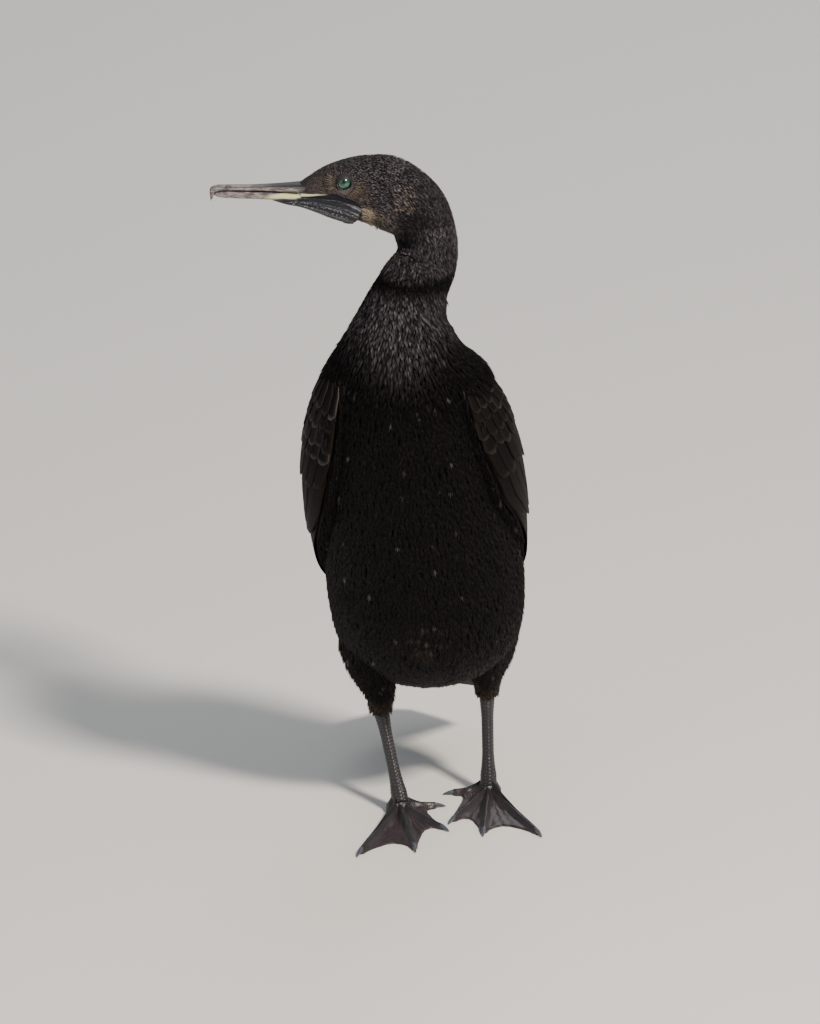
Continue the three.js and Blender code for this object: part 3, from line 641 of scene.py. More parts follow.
def coatRoots(start, end, rng):  # rows of roots along the body's line, with a little chance
    found, t, row = [], start, 0
    ringAngles = np.linspace(0, 360, 145)
    while t < end:
        apart = float(coatAt("apart", t))
        reach = lengthAlong(ringPoint(bodyLine, t, ringAngles))
        count = max(8, int(reach[-1] / apart))
        angle = np.interp(jittered(count, row, rng) / count % 1 * reach[-1], reach, ringAngles)
        ahead, here = (np.interp(at, bodyLine["t"], bodyLine["length"]) for at in (t + 0.05, t))
        near = float(ahead - here) / 0.05  # mm for one station
        wobble = rng.uniform(-coatPlan["jitter"], coatPlan["jitter"], count) * apart / near
        found.append(np.column_stack([np.full(count, t) + wobble, angle]))
        t += coatPlan["rowShare"] * apart / near
        row += 1
    made = np.concatenate(found)
    return np.clip(made[:, 0], start, end), made[:, 1]


def isBare(points, turned):  # no plumes under the wings, on the pouch, in the mouth's line or round the eye
    x, z = points[:, 0], points[:, 2]
    front = np.interp(-z, [-h for h in wingHeights], wingFront)
    underWing = (np.abs(turned) <= front - 14) & (np.abs(turned) >= 26) & (z <= 345) & (z >= 95)
    mouth = mouthHeight(x)
    inPouch = (x < -54.3) & (z < mouth + 1.0) & (z > 470)
    onLine = (x < -48) & (np.abs(z - mouth) < 0.8)
    return underWing | inPouch | onLine | ((fromEye(points) < 6.7) & (x < -50))


def growCoat(name, start, end, plume, blend):
    seed = 10 + len(name)
    rng = np.random.default_rng(seed)
    t, angle = coatRoots(start, end, rng)
    share = np.minimum((t - start) / blend[0], (end - t) / blend[1])
    thinned = rng.uniform(0, 1, len(t)) < share + 0.12  # at both ends, where it runs into the next piece
    t, angle = t[thinned], angle[thinned]
    roots = ringPoint(bodyLine, t, angle, -coatDepth(t))
    turned = (angle + 180) % 360 - 180  # 0 at the back, +-180 at the front
    keep = ~isBare(roots, turned)
    t, angle, roots, turned = t[keep], angle[keep], roots[keep], turned[keep]
    along, out = bodyFrames(t, angle)
    away = fromEye(roots)
    ray = np.stack([roots[:, 0] - eyeRim["x"], 0 * away, roots[:, 2] - eyeRim["z"]], 1)
    ray /= np.maximum(away, 1)[:, None]
    along = along + ray * (1.6 * ridge(away, 0, 11) * (roots[:, 0] < -40))[:, None]  # turned round the eye
    along += np.cross(out, along) * rng.normal(0, coatPlan["stray"], len(t))[:, None]
    throat = ease((np.abs(turned) - 120) / 30) * ease((t - 3.4) / 0.6) * ease((7.6 - t) / 1.2)
    length = coatAt("length", t) * rng.uniform(0.82, 1.15, len(t)) * (1 + coatPlan["throatLonger"] * throat)
    width = coatAt("width", t) * rng.uniform(0.85, 1.15, len(t))
    tilt = np.arcsin(np.clip(coatDepth(t) * 0.6 / length, 0, 0.5)) + rng.normal(0, 0.02, len(t))
    places = (inside((t - start) / (end - start)), inside(angle / 360))
    plant(name, plume, faceRelief(roots) + out * 0.05, unit(square(along, out)), out,
          tilt + coatPlan["throatTilt"] * throat, width, length, places, plumeMarks(roots, rng), seed)


facePlume = plumeShape("facePlume", [(0, 0), (0.45, 0.5), (1, 0)], [(0, 0.2, 0.34, 0.92, 0.13)], 0.05)
neckPlume = plumeShape("neckPlume", [(0, 0), (0.4, 0.42), (0.95, 0)],
                       [(-0.1, 0.2, -0.42, 0.86, 0.12), (0.1, 0.25, 0.36, 0.95, 0.12),
                        (0, 0.3, 0.06, 1.08, 0.12)], 0.06)
bodyPlume = plumeShape("bodyPlume", [(0, 0), (0.3, 0.42), (0.66, 0.5), (0.92, 0)],
                       [(-0.2, 0.4, -0.46, 0.93, 0.13), (0.2, 0.4, 0.48, 0.9, 0.13),
                        (0.02, 0.5, 0.06, 1.08, 0.11)], 0.05)
coatPieces = {  # from and to on the body's line, the plume, and how far each end blends into the next piece
    "coatFace": (0.03, 2.1, facePlume, (0.01, 0.25)),
    "coatCrown": (1.85, 5.9, facePlume, (0.25, 0.6)),
    "coatNape": (5.2, 8.3, neckPlume, (0.7, 0.3)),
    "coatNeck": (8.0, 10.2, neckPlume, (0.3, 0.3)),
    "coatCollar": (9.9, 12.2, neckPlume, (0.3, 0.5)),
    "coatBreast": (11.7, 13.5, bodyPlume, (0.5, 0.15)),
    "coatBelly": (13.35, 14.9, bodyPlume, (0.15, 0.15)),
    "coatLowerBelly": (14.75, 16.3, bodyPlume, (0.15, 0.2)),
    "coatVent": (16.1, 19.95, bodyPlume, (0.2, 0.01)),
}
for name, (start, end, plume, blend) in coatPieces.items():
    growCoat(name, start, end, plume, blend)

thighCoat = {"length": 13, "width": 4.6, "apart": 3.3, "depth": 3.0, "rows": 200, "stray": 0.15}
for side, name in ((1, "coatThighLeft"), (-1, "coatThighRight")):
    rng = np.random.default_rng(20 + side)
    rings, table, across, front = limbRings(thighSections(side, thighCoat["depth"]), 72, thighCoat["rows"])
    reach = lengthAlong(table[:, :3])
    found, at, row = [], 4.0, 0
    while at < reach[-1] - 1.0:
        share = at / reach[-1]
        apart = thighCoat["apart"] * (1 - 0.45 * share)
        k = min(thighCoat["rows"] - 2, int(np.searchsorted(reach, at)))
        count = max(9, int(2 * np.pi * (table[k, 3] + table[k, 4]) / 2 / apart))
        turn = jittered(count, row, rng) * 2 * np.pi / count
        found.append(np.column_stack([np.full(count, k), turn, np.full(count, share)]))
        at += apart * 0.85
        row += 1
    k, turn, share = np.concatenate(found).T
    k = k.astype(int)
    aside, fore = across[k] * np.cos(turn)[:, None], front[k] * np.sin(turn)[:, None]
    out = unit(aside / table[k, 3:4] + fore / table[k, 4:5])
    roots = table[k, :3] + aside * table[k, 3:4] + fore * table[k, 4:5]
    along = unit(square(table[k + 1, :3] - table[k, :3], out))
    along += np.cross(out, along) * rng.normal(0, thighCoat["stray"], len(k))[:, None]
    length = thighCoat["length"] * (1 - 0.5 * share) * rng.uniform(0.8, 1.15, len(k))
    width = thighCoat["width"] * (1 - 0.5 * share) * rng.uniform(0.85, 1.15, len(k))
    marks = plumeMarks(roots, rng)
    brownEnd = 0.75 * ease((share - 0.7) / 0.2) * rng.uniform(0.4, 1, len(share))
    marks["belly"] = np.maximum(marks["belly"], brownEnd)
    plant(name, bodyPlume, roots, along, out, np.arcsin(np.clip(thighCoat["depth"] * 0.7 / length, 0, 0.35)),
          width, length, (inside(share), inside(turn / (2 * np.pi) % 1)), marks, 30 + side)
print("coat done")


# Flight feathers and coverts: stiff vanes, blackish brown, each with its shaft and a browner, worn rim; some
# coverts have a pale rim, partly their own colour and partly painted highlight.
vaneLook = {"dark": "#050404", "brown": "#130e0b", "rim": "#261b13", "pale": "#6c6663", "barbMm": 0.9,
            "wearPerMm": 0.42, "roughness": 0.58, "specular": 0.08}


def vaneFinish(name):
    made, tree = startMaterial(name, vaneLook["roughness"], vaneLook["specular"])
    rim, pale, tone, barb = readMarks(tree, "rim", "pale", "tone", "barb")  # barb: mm along a barb's slant
    place = addNode(tree, "ShaderNodeTexCoord").outputs["Object"]
    wear = addNode(tree, "ShaderNodeTexNoise", {},
                   {"Vector": place, "Scale": 1000 * vaneLook["wearPerMm"], "Detail": 3.0}).outputs["Fac"]
    turns = 2 * math.pi / vaneLook["barbMm"]
    # the pale rim: partly own colour, partly painted highlight
    worn, paleRimAndPaintedHighlight, wave = (addNode(tree, "ShaderNodeMath", {"operation": "MULTIPLY"}, {0: a, 1: b}).outputs[0]
                         for a, b in ((rim, wear), (rim, pale), (barb, turns)))
    colour = fromHex(vaneLook["dark"])
    for share, code in ((tone, "brown"), (worn, "rim"), (paleRimAndPaintedHighlight, "pale")):
        colour = addNode(tree, "ShaderNodeMix", {"data_type": "RGBA"},
                         {"Factor": share, 6: colour, 7: fromHex(vaneLook[code])}).outputs[2]
    barbs = addNode(tree, "ShaderNodeMath", {"operation": "SINE"}, {0: wave})
    dress(tree, colour, barbs.outputs[0], 0.25, 0.2)
    return made


vaneKeratin = vaneFinish("Keratin_flight_feather")  # stiff and nearly matt, with fine barbs across it
vaneSize = {"thick": 0.34, "shaft": 0.35, "camber": 0.9,
            "across": [-1, -0.72, -0.42, -0.15, 0, 0.15, 0.42, 0.72, 1]}


def featherMesh(place, half, rows, first, cell, look):
    # place turns a share along, mm aside and mm up into points; cell is the feather's patch on the unwrap
    across = np.array(vaneSize["across"])
    share = np.linspace(0.0, 0.985, rows)
    rounded = np.sqrt(np.clip(1 - np.clip((share - 0.8) / 0.2, 0, 1) ** 2.2, 0.02, 1))
    wide = half * rounded * (0.35 + 0.65 * ease(share / 0.3))
    s, inner = share[:, None], across[1:-1:2]
    camber = vaneSize["camber"] * (half / 12)
    top = camber * (1 - across**2) + vaneSize["shaft"] * (1 - 0.6 * s) * (np.abs(across) < 0.05)
    low = camber * (1 - inner[None, :] ** 2) - vaneSize["thick"]
    upper = place(s + 0 * top, across * wide[:, None], top)
    lower = place(s + 0 * low, inner * wide[:, None], low)[:, ::-1]
    points, faces = closedLoft(np.concatenate([upper, lower], 1), first)
    start, end, tip = (place(np.array([[at]]), np.zeros((1, 1)), np.array([[up]]))[0, 0]
                       for at, up in ((0.0, 0.0), (1.0, 0.0), (1.0, 0.2)))
    points[-1] = tip
    around = np.concatenate([across, inner[::-1]])
    u = np.concatenate([np.tile(around, rows), [0, 0]])
    v = np.concatenate([np.repeat(share, len(around)), [0, 1]])
    tone, pale = look
    marks = {"rim": np.clip(np.maximum(np.abs(u) ** 5, ease((v - 0.9) / 0.08)), 0, 1),
             "pale": np.full(len(u), pale), "tone": np.full(len(u), tone),
             "barb": v * np.linalg.norm(end - start) - np.abs(u) * half * 0.8}
    vane, corner, extent = np.column_stack([u * 0.5 + 0.5, v]), np.array(cell[:2]), np.array(cell[2:])
    return points, faces, marks, {"vane": vane, "OFBake": corner + vane * extent}


def plainPart(points, faces, tone):  # a part without rim or barbs, to join the feathers
    count = len(points)
    marks = {key: np.full(count, tone if key == "tone" else 0.0) for key in ("rim", "pale", "tone", "barb")}
    return points, faces, marks, {"vane": np.full((count, 2), 0.5), "OFBake": np.full((count, 2), 0.998)}


def settleFeathers(name, made, node):
    points = np.concatenate([m[0] for m in made])
    faces = [f for m in made for f in m[1]]
    marks, uvs = ({key: np.concatenate([m[k][key] for m in made]) for key in made[0][k]} for k in (2, 3))
    settle(makePiece(name, points, faces, vaneKeratin, marks, uvs), "flight_feather", node)
    print(name, len(made), "feathers", sum(len(f) - 2 for f in faces), "triangles")


def stationRead(values, t):
    return np.interp(t, np.arange(len(values)), values)


def wingPoint(side, t, across, lift):  # across is 0 at the front edge and 1 at the spine
    edges = (stationRead(wingFront, t), stationRead(wingBack, t))
    return ringPoint(wingLine, t, side * between(edges, across), lift)


# Rows of wing feathers, the innermost layer first. How many; stations of the roots and of the tips, at the
# spine and at the front edge; heights of root and tip; where roots and tips lie across; half-width; face rows.
wingTiers = {
    "primaries": (9, (3.8, 3.8), (7, 5.6), (-0.6, 0.5), (0.86, 0.3), (0.95, 0.25), 8, 30),
    "secondaries": (12, (2.8, 2.8), (6.0, 4.75), (0.8, 2.4), (0.94, 0.06), (0.92, 0.1), 9.5, 26),
    "greater": (13, (2, 2), (3.8, 3.5), (1.6, 3.5), (0.94, 0.06), (0.93, 0.07), 9, 18),
    "median": (13, (1.4, 1.4), (2.85, 2.6), (2.4, 4.4), (0.93, 0.07), (0.92, 0.06), 8.5, 14),
    "lesser4": (12, (1.25, 1.2), (2.2, 2.1), (3.2, 4.9), (0.84, 0.07), (0.86, 0.05), 7.5, 10),
    "lesser3": (12, (1.05, 1.0), (1.85, 1.75), (3.3, 5.2), (0.78, 0.06), (0.8, 0.04), 7, 9),
    "lesser2": (11, (0.85, 0.85), (1.5, 1.42), (3.0, 5.4), (0.72, 0.06), (0.74, 0.04), 6.5, 8),
    "lesser1": (10, (0.6, 0.62), (1.2, 1.12), (1.8, 5.4), (0.68, 0.06), (0.7, 0.04), 6, 8),
    "scapulars3": (4, (1.3, 1.3), (3.95, 3.1), (3.8, 7.2), (0.94, 0.72), (0.94, 0.76), 9, 20),
    "scapulars2": (4, (0.9, 0.95), (3.0, 2.5), (3.8, 7.6), (0.93, 0.68), (0.94, 0.74), 8.5, 14),
    "scapulars1": (5, (0.55, 0.6), (2.0, 1.7), (2.6, 7.6), (0.9, 0.62), (0.93, 0.7), 8, 12),
}
wingLay = {"tipStray": 0.07, "acrossStray": 0.012, "pitch": 0.75, "cells": 14}  # pitch: rise over the next


def wingFeathers(side):
    rng = np.random.default_rng(50 + side)
    made, first, cells = [], 0, wingLay["cells"]
    for row, (tier, plan) in enumerate(wingTiers.items()):
        count, roots, tips, height, rootsAcross, tipsAcross, half, faceRows = plan
        rise = wingLay["pitch"] * (count - 1) / abs(rootsAcross[0] - rootsAcross[1])
        for i in range(count):
            order = i / (count - 1)
            line = (between(roots, order), between(tips, order) + rng.uniform(-1, 1) * wingLay["tipStray"])
            acrossLine = (between(rootsAcross, order),
                          between(tipsAcross, order) + rng.uniform(-1, 1) * wingLay["acrossStray"])

            def place(share, aside, up):
                t, across = between(line, share), between(acrossLine, share)
                step = wingPoint(side, t, across + 0.01, 0) - wingPoint(side, t, across, 0)
                sideways = aside / np.linalg.norm(step, axis=-1) * 0.01
                return wingPoint(side, t, across + sideways, between(height, share) + up - sideways * rise)

            pale = 0.0
            if tier.startswith("lesser") and order > 0.6:  # a few pale rims, partly painted highlight, three times as strong on the sunlit side
                pale = rng.uniform(0, 0.6) ** 2 * (1.5 if side < 0 else 0.5)
            cell = (0.005 + 0.99 * i / cells, 0.005 + 0.99 * row / len(wingTiers),
                    0.95 / cells, 0.9 / len(wingTiers))
            made.append(featherMesh(place, half * rng.uniform(0.94, 1.04), faceRows, first, cell,
                                    (rng.uniform(0.0, 0.6), pale)))
            first += len(made[-1][0])
    return made, first


wingBedPlan = {"stands": [3, 4.0, 3.2, 1.8, 0.2, -1.0, -1.0, -1.0], "deep": -9.0}  # off the shell, by station


def wingBed(side, first):  # the closed bed of the folded wing that its feathers grow from
    t, across = np.linspace(0.75, 5, 40)[:, None], np.linspace(0, 1, 22)
    rounding = 1 - np.abs(2 * across - 1) ** 6
    outer = wingPoint(side, t, across, (stationRead(wingBedPlan["stands"], t) - 0.8) * rounding)
    inner = wingPoint(side, t, across[::-1], wingBedPlan["deep"])
    return plainPart(*closedLoft(np.concatenate([outer, inner], 1), first), 0.3)


for side, name in sides:
    feathers, count = wingFeathers(side)
    settleFeathers("wing_feathers_" + name, [*feathers, wingBed(side, count)], "wing_" + name)

# Small plumes along the wing's front edge, where it sinks into the plumage of the breast, and over its
# shoulder, where the mantle runs onto the coverts.
edgePlan = {"from": 0.5, "to": 6.6, "count": 130, "rows": 5, "length": 10, "width": 3.4,
            "low": -8.0, "under": 2.2}
mantlePlan = {"from": 0.25, "to": 1.45, "rows": 16, "count": 60, "length": 13, "width": 4.2,
              "at": [0.25, 0.6, 1.0, 1.45], "height": [-1.5, 2.2, 5.0, 5.8]}
# pale: the share of edge and mantle plumes that get a painted glint
wingPlumeLay = {"stray": 0.14, "tilt": 0.12, "pale": 0.03}
for side, name in sides:
    rng = np.random.default_rng(90 + side)
    path = np.linspace(edgePlan["from"], edgePlan["to"], edgePlan["count"])
    edgeRows = range(edgePlan["rows"])
    depth = (edgePlan["low"], stationRead(wingBedPlan["stands"], path) - edgePlan["under"])
    t = np.concatenate([path + rng.uniform(-0.02, 0.02, len(path)) for _ in edgeRows])
    lift = np.concatenate([between(depth, (k + rng.uniform(0, 1, len(path))) / len(edgeRows)) for k in edgeRows])
    out = wingPoint(side, t, 0 * t, lift) - wingPoint(side, t, 0 * t + 0.02, lift)
    edgeCount = len(t)
    row, order = (v.ravel() for v in np.indices((mantlePlan["rows"], mantlePlan["count"])))
    share = (row + rng.uniform(0, 1, row.size)) / mantlePlan["rows"]
    mantleAcross = (order + 0.5 * (row % 2) + rng.uniform(-0.3, 0.3, row.size)) / mantlePlan["count"]
    kept = rng.uniform(0, 1, row.size) > share ** 1.5  # thinner towards the coverts
    mantleT = between((mantlePlan["from"], mantlePlan["to"]), share[kept])
    mantleAcross = np.clip(mantleAcross[kept], 0.01, 0.97)
    overScapulars = 1.2 * ease((mantleAcross - 0.55) / 0.2) * ease((mantleT - 0.6) / 0.5)
    mantleLift = np.interp(mantleT, mantlePlan["at"], mantlePlan["height"]) + overScapulars
    mantleOut = (wingPoint(side, mantleT, mantleAcross, mantleLift + 1)
                 - wingPoint(side, mantleT, mantleAcross, mantleLift))
    across = np.concatenate([0 * t, mantleAcross])
    t, lift = np.concatenate([t, mantleT]), np.concatenate([lift, mantleLift])
    out = unit(np.concatenate([out, mantleOut]))
    length, width = (np.where(np.arange(len(t)) < edgeCount, edgePlan[key], mantlePlan[key])
                     for key in ("length", "width"))
    roots = wingPoint(side, t, across, lift)
    along = unit(square(wingPoint(side, t + 0.02, across, lift) - roots, out))
    along += np.cross(out, along) * rng.normal(0, wingPlumeLay["stray"], len(t))[:, None]
    length = length * rng.uniform(0.8, 1.15, len(t))
    # a few plumes get a painted glint
    marks = {"paintedSheen": 0.3 * (rng.uniform(0, 1, len(t)) < wingPlumeLay["pale"])}
    width = width * rng.uniform(0.85, 1.15, len(t))
    edgeRow = 0.004 + 0.04 * np.clip((lift - edgePlan["low"]) / 12, 0, 1)
    places = (inside(np.clip(t / 7, 0, 1)), np.where(across > 0, 0.05 + 0.9 * across, edgeRow))
    plant("wing_plumes_" + name, bodyPlume, roots, along, out, wingPlumeLay["tilt"], width, length, places,
          marks, 95 + side)

# Tail: stiff feathers in a narrow fan, the middle pair on top, as in the solids.
tailPlan = {"length": 131, "outer": 97, "droop": 30, "feathers": 12, "half": 10.5, "spread": 2.7,
            "pitch": 1.9, "root": 6.0, "top": 4.15, "rows": 26}
covertPlan = {"rows": 3, "count": 7, "half": 5.5, "apart": 5.2, "length": 30, "rowApart": 9, "faceRows": 8}
tailCore = {"at": [-3, 14, 28, 42], "half": [18, 21, 23, 22], "thick": [8.4, 8, 6.6, 5], "tone": 0.2}
droop = math.radians(tailPlan["droop"])
tailBase = np.array(bodyRows["tail base"][:3], float)
tailDown = np.array([0, math.cos(droop), -math.sin(droop)])
tailUp = np.array([0, math.sin(droop), math.cos(droop)])


def tailPoint(out, aside, up):
    out, aside, up = np.broadcast_arrays(out, aside, up)
    across = np.array([1.0, 0, 0])
    return tailBase + out[..., None] * tailDown + up[..., None] * tailUp + aside[..., None] * across


tailMade, first = [], 0
rng = np.random.default_rng(60)
for i in range(tailPlan["feathers"]):
    side, pair = (1 if i % 2 else -1), i // 2
    fan = math.radians((pair + 0.4) * tailPlan["spread"]) * side
    reach = (tailPlan["root"], between((tailPlan["length"], tailPlan["outer"]), pair / 5))
    layer = tailPlan["top"] - tailPlan["pitch"] * i / 2

    def place(share, aside, up):
        out = between(reach, share)
        return tailPoint(out, side * (pair + 0.5) * 2.6 + math.tan(fan) * out + aside, layer + up)

    cell = (0.005 + 0.08 * i, 0.01, 0.07, 0.6)
    tailMade.append(featherMesh(place, tailPlan["half"], tailPlan["rows"], first, cell,
                                (rng.uniform(0.1, 0.6), 0.0)))
    first += len(tailMade[-1][0])
for side in (1, -1):  # coverts above and below the roots of the tail
    for row in range(covertPlan["rows"]):
        for i in range(covertPlan["count"]):
            off = (i - 3) * covertPlan["apart"] + rng.uniform(-1, 1)

            def place(share, aside, up):
                out = -2 + row * covertPlan["rowApart"] + covertPlan["length"] * share
                arch = 9.4 - 0.0085 * (off + aside) ** 2 - 0.075 * out
                high = side * (arch + up - 0.9 - 0.35 * (i % 2)) - (0 if side > 0 else 1.5)
                return tailPoint(out, off * (1 + 0.2 * share) + aside, high)

            cell = (0.005 + 0.07 * (i + (7 if side < 0 else 0)), 0.65 + 0.11 * row, 0.06, 0.1)
            tailMade.append(featherMesh(place, covertPlan["half"], covertPlan["faceRows"], first, cell,
                                        (rng.uniform(0.1, 0.5), 0.0)))
            first += len(tailMade[-1][0])
coreAt = np.linspace(tailCore["at"][0], tailCore["at"][-1], 12)[:, None]
coreAngle = np.linspace(0, 2 * np.pi, 32, endpoint=False)
coreHalf, coreThick = (np.interp(coreAt, tailCore["at"], tailCore[key]) for key in ("half", "thick"))
coreRings = tailPoint(coreAt, np.cos(coreAngle) * coreHalf, np.sin(coreAngle) * coreThick)
tailMade.append(plainPart(*closedLoft(coreRings, first), tailCore["tone"]))
settleFeathers("tail_feathers", tailMade, "tail")
print("wings and tail done")


# Bill: keratin plates, horn-grey with a bluish-black culmen near the base and a cream stripe under the mouth.
billLook = {"nail": "#383236", "horn": "#6e6263", "scuff": "#b5adaa", "dark": "#1c1f25", "cream": "#dbd7a6",
            "line": "#241f22", "flowPerMm": 0.7, "cloudPerMm": 0.13, "roughness": 0.36, "coat": 0.25}


def billFinish(name):
    made, tree = startMaterial(name, billLook["roughness"], 0.5,
                               {"Coat Weight": billLook["coat"], "Coat Roughness": 0.25})
    place = addNode(tree, "ShaderNodeTexCoord").outputs["Object"]
    culmen, stripe, edge = readMarks(tree, "culmen", "stripe", "edge")
    stretched = addNode(tree, "ShaderNodeMapping", {}, {"Vector": place, "Scale": (0.25, 1, 1)})
    flow = addNode(tree, "ShaderNodeTexNoise", {},
                   {"Vector": stretched.outputs[0], "Scale": 1000 * billLook["flowPerMm"], "Detail": 5.0,
                    "Roughness": 0.6}).outputs["Fac"]
    cloud = addNode(tree, "ShaderNodeTexNoise", {},
                    {"Vector": place, "Scale": 1000 * billLook["cloudPerMm"], "Detail": 3.0}).outputs["Fac"]
    ramp = addNode(tree, "ShaderNodeMapRange", {}, {"Value": flow, "From Min": 0.44, "From Max": 0.66})
    scuffed = addNode(tree, "ShaderNodeMath", {"operation": "MULTIPLY"}, {0: ramp.outputs[0], 1: 0.75})
    rough = addNode(tree, "ShaderNodeMath", {"operation": "MULTIPLY_ADD"}, {0: flow, 1: 0.9, 2: -0.42})
    moved = addNode(tree, "ShaderNodeMath", {"operation": "ADD", "use_clamp": True},
                    {0: culmen, 1: rough.outputs[0]})
    held = addNode(tree, "ShaderNodeMath", {"operation": "MULTIPLY"}, {0: moved.outputs[0], 1: culmen})
    colour = fromHex(billLook["nail"])
    for share, code in ((cloud, "horn"), (scuffed.outputs[0], "scuff"), (held.outputs[0], "dark"),
                        (stripe, "cream"), (edge, "line")):
        colour = addNode(tree, "ShaderNodeMix", {"data_type": "RGBA"},
                         {"Factor": share, 6: colour, 7: fromHex(billLook[code])}).outputs[2]
    dress(tree, colour, flow)
    return made


billKeratin = billFinish("Keratin_bill_sheath")  # a thin gloss over horn, streaked and scuffed along its length
billShape = {  # x, bottom, top, half-width and lean from the face to the tip
    "upper": [(-93, 510, 517.4, 8.6, 0), (-95, 510.05, 517.3, 8.7, 0), (-110, 510.65, 516.3, 6.8, 0),
              (-124, 511.05, 515.5, 5.5, 0), (-140, 511.35, 515, 4.6, 0), (-154, 511.35, 515, 4.1, 0),
              (-161, 510.85, 515.05, 3.8, 0), (-164.4, 509.9, 514.7, 3.4, -0.25),
              (-166.6, 508.6, 512.95, 2.8, -0.8), (-167.4, 506.7, 509.9, 2.2, -1.1),
              (-167.7, 504.9, 506.9, 1.4, -1.2), (-168.0, 503.1, 504.3, 0.7, -1),
              (-168.1, 502.1, 502.6, 0.25, -0.8)],
    "lower": [(-93, 502.5, 509.6, 8.4, 0), (-95, 502.5, 509.75, 8.5, 0), (-110, 503, 510.35, 6.6, 0),
              (-124, 503.9, 510.7, 5.3, 0), (-140, 504.3, 511, 4.3, 0), (-154, 504.7, 511, 3.7, 0),
              (-161, 505.3, 510.5, 3.1, 0), (-164, 506.1, 509.8, 2.2, 0), (-165.3, 507.1, 509.1, 0.9, 0)],
    "squareness": 0.6,
}


def billRings(sections, rows, around):  # rings of a half of the bill, and the angle of each column, 90 on top
    sections = np.asarray(sections, float)
    step = np.hypot(np.diff(sections[:, 0]), np.diff((sections[:, 1] + sections[:, 2]) / 2))
    reach = np.concatenate([[0], np.cumsum(step)])
    table = smoothRows(np.column_stack([reach, sections]), reach[-1] * np.linspace(0, 1, rows) ** 0.9)
    a = np.linspace(-np.pi / 2, 1.5 * np.pi, around, endpoint=False)[None, :]
    x, bottom, top, half, lean = (table[:, k:k + 1] for k in range(5))
    high, up = (top - bottom) / 2, np.sin(a)
    squared = np.sign(up) * np.abs(up) ** billShape["squareness"]
    rings = np.stack([x + lean * up * high, np.cos(a) * half, (top + bottom) / 2 + squared * high], -1)
    return rings, np.degrees(a)


rings, turn = billRings(billShape["upper"], 190, 72)
x, fromTop = rings[..., 0], np.abs(turn - 90)
groove = ridge(fromTop, 56, 9) * ease((-x - 97) / 4) * ease((x + 163) / 6)  # below the culmen
nail = ridge(x, -156.5, 0.7) * ease((110 - fromTop) / 30)  # where the hooked nail starts
plates = 0.12 * np.sin(x * 1.9 + fromTop * 0.02) * ease((x + 156) / 30)
rings[..., 1] *= 1 - 0.07 * groove - 0.05 * nail - 0.012 * plates
rings[..., 2] -= 0.18 * groove + 0.14 * nail
x = rings[..., 0]
culmen = ease((60 - fromTop) / 16) * (0.3 + 0.7 * ease((x + 150) / 36))
culmen = np.clip(culmen + 0.85 * ease((x + 108) / 12), 0, 1)
edge = np.clip(groove * 0.75 + nail * 0.7 + ridge(fromTop, 150, 10) * 0.5, 0, 1)
settleLoft("bill_upper_sheath", rings, billKeratin, {"culmen": culmen, "edge": edge, "stripe": 0.0},
           "bill_horn", "upper_bill")
rings, turn = billRings(billShape["lower"], 150, 64)
x, z, fromBelow = rings[..., 0], rings[..., 2], np.abs(turn + 90)
seam = ridge(fromBelow, 74, 8) * ease((x + 158) / 8) * ease((-x - 98) / 4)
rings[..., 1] *= 1 - 0.05 * seam
stripeTop = np.minimum(510.4, 508.2 + 0.16 * (x + 124))
stripe = ease((x + 129) / 10) * ease((z - (505.6 + 0.045 * (x + 124)) + 0.4) / 0.9)
stripe = stripe * ease((stripeTop - z + 0.4) / 0.8)
edge = np.clip(ridge(fromBelow, 168, 12) * 0.8 + 0.45 * seam, 0, 1)
under = ease((x + 122) / 10) * ease((505.6 + 0.1 * (x + 124) - z) / 0.8)
marks = {"culmen": under * (1 - stripe), "edge": edge * (1 - stripe), "stripe": stripe}
settleLoft("bill_lower_sheath", rings, billKeratin, marks, "bill_horn", "lower_bill")

# Throat pouch: bare, elastic skin, slate black, in long folds with a painted highlight along their ridges, with
# rows of pale grains.
pouchLook = {"deep": "#0c0d12", "fold": "#6c7182", "cream": "#dcd8ae", "creasePerMm": 1.1, "roughness": 0.4}
pouchShape = {
    "folds": 7, "depthMm": 0.75, "rows": 170, "around": 150,
    "sections": [(-121, 503, 504.2, 2, -0.25), (-112, 500.2, 505.2, 5.4, -0.25), (-99, 497.2, 510.4, 9.1, -0.2),
                 (-88, 493.6, 511.9, 13.4, -0.1), (-76, 489.2, 512.7, 16.9, 0), (-66, 486.8, 511.2, 19.3, 0.2),
                 (-60, 485.5, 508.4, 20.4, 0.4), (-55.6, 485.8, 505, 20.3, 0.55),
                 (-54.4, 487.4, 503.2, 19.2, 0.6)],
}


def pouchFinish(name):
    made, tree = startMaterial(name, pouchLook["roughness"], 0.5)
    place = addNode(tree, "ShaderNodeTexCoord").outputs["Object"]
    fold, cream = readMarks(tree, "fold", "cream")
    stretched = addNode(tree, "ShaderNodeMapping", {}, {"Vector": place, "Scale": (0.3, 1, 1)})
    fine = addNode(tree, "ShaderNodeTexNoise", {},
                   {"Vector": stretched.outputs[0], "Scale": 1000 * pouchLook["creasePerMm"], "Detail": 4.0})
    # the painted highlight on the ridges of the folds
    much = addNode(tree, "ShaderNodeMath", {"operation": "MULTIPLY"}, {0: fold, 1: fine.outputs["Fac"]})
    ramp = addNode(tree, "ShaderNodeMapRange", {}, {"Value": much.outputs[0], "From Min": 0.3, "From Max": 0.6})
    colour = fromHex(pouchLook["deep"])
    for share, code in ((ramp.outputs[0], "fold"), (cream, "cream")):
        colour = addNode(tree, "ShaderNodeMix", {"data_type": "RGBA"},
                         {"Factor": share, 6: colour, 7: fromHex(pouchLook[code])}).outputs[2]
    dress(tree, colour, fine.outputs["Fac"])
    return made


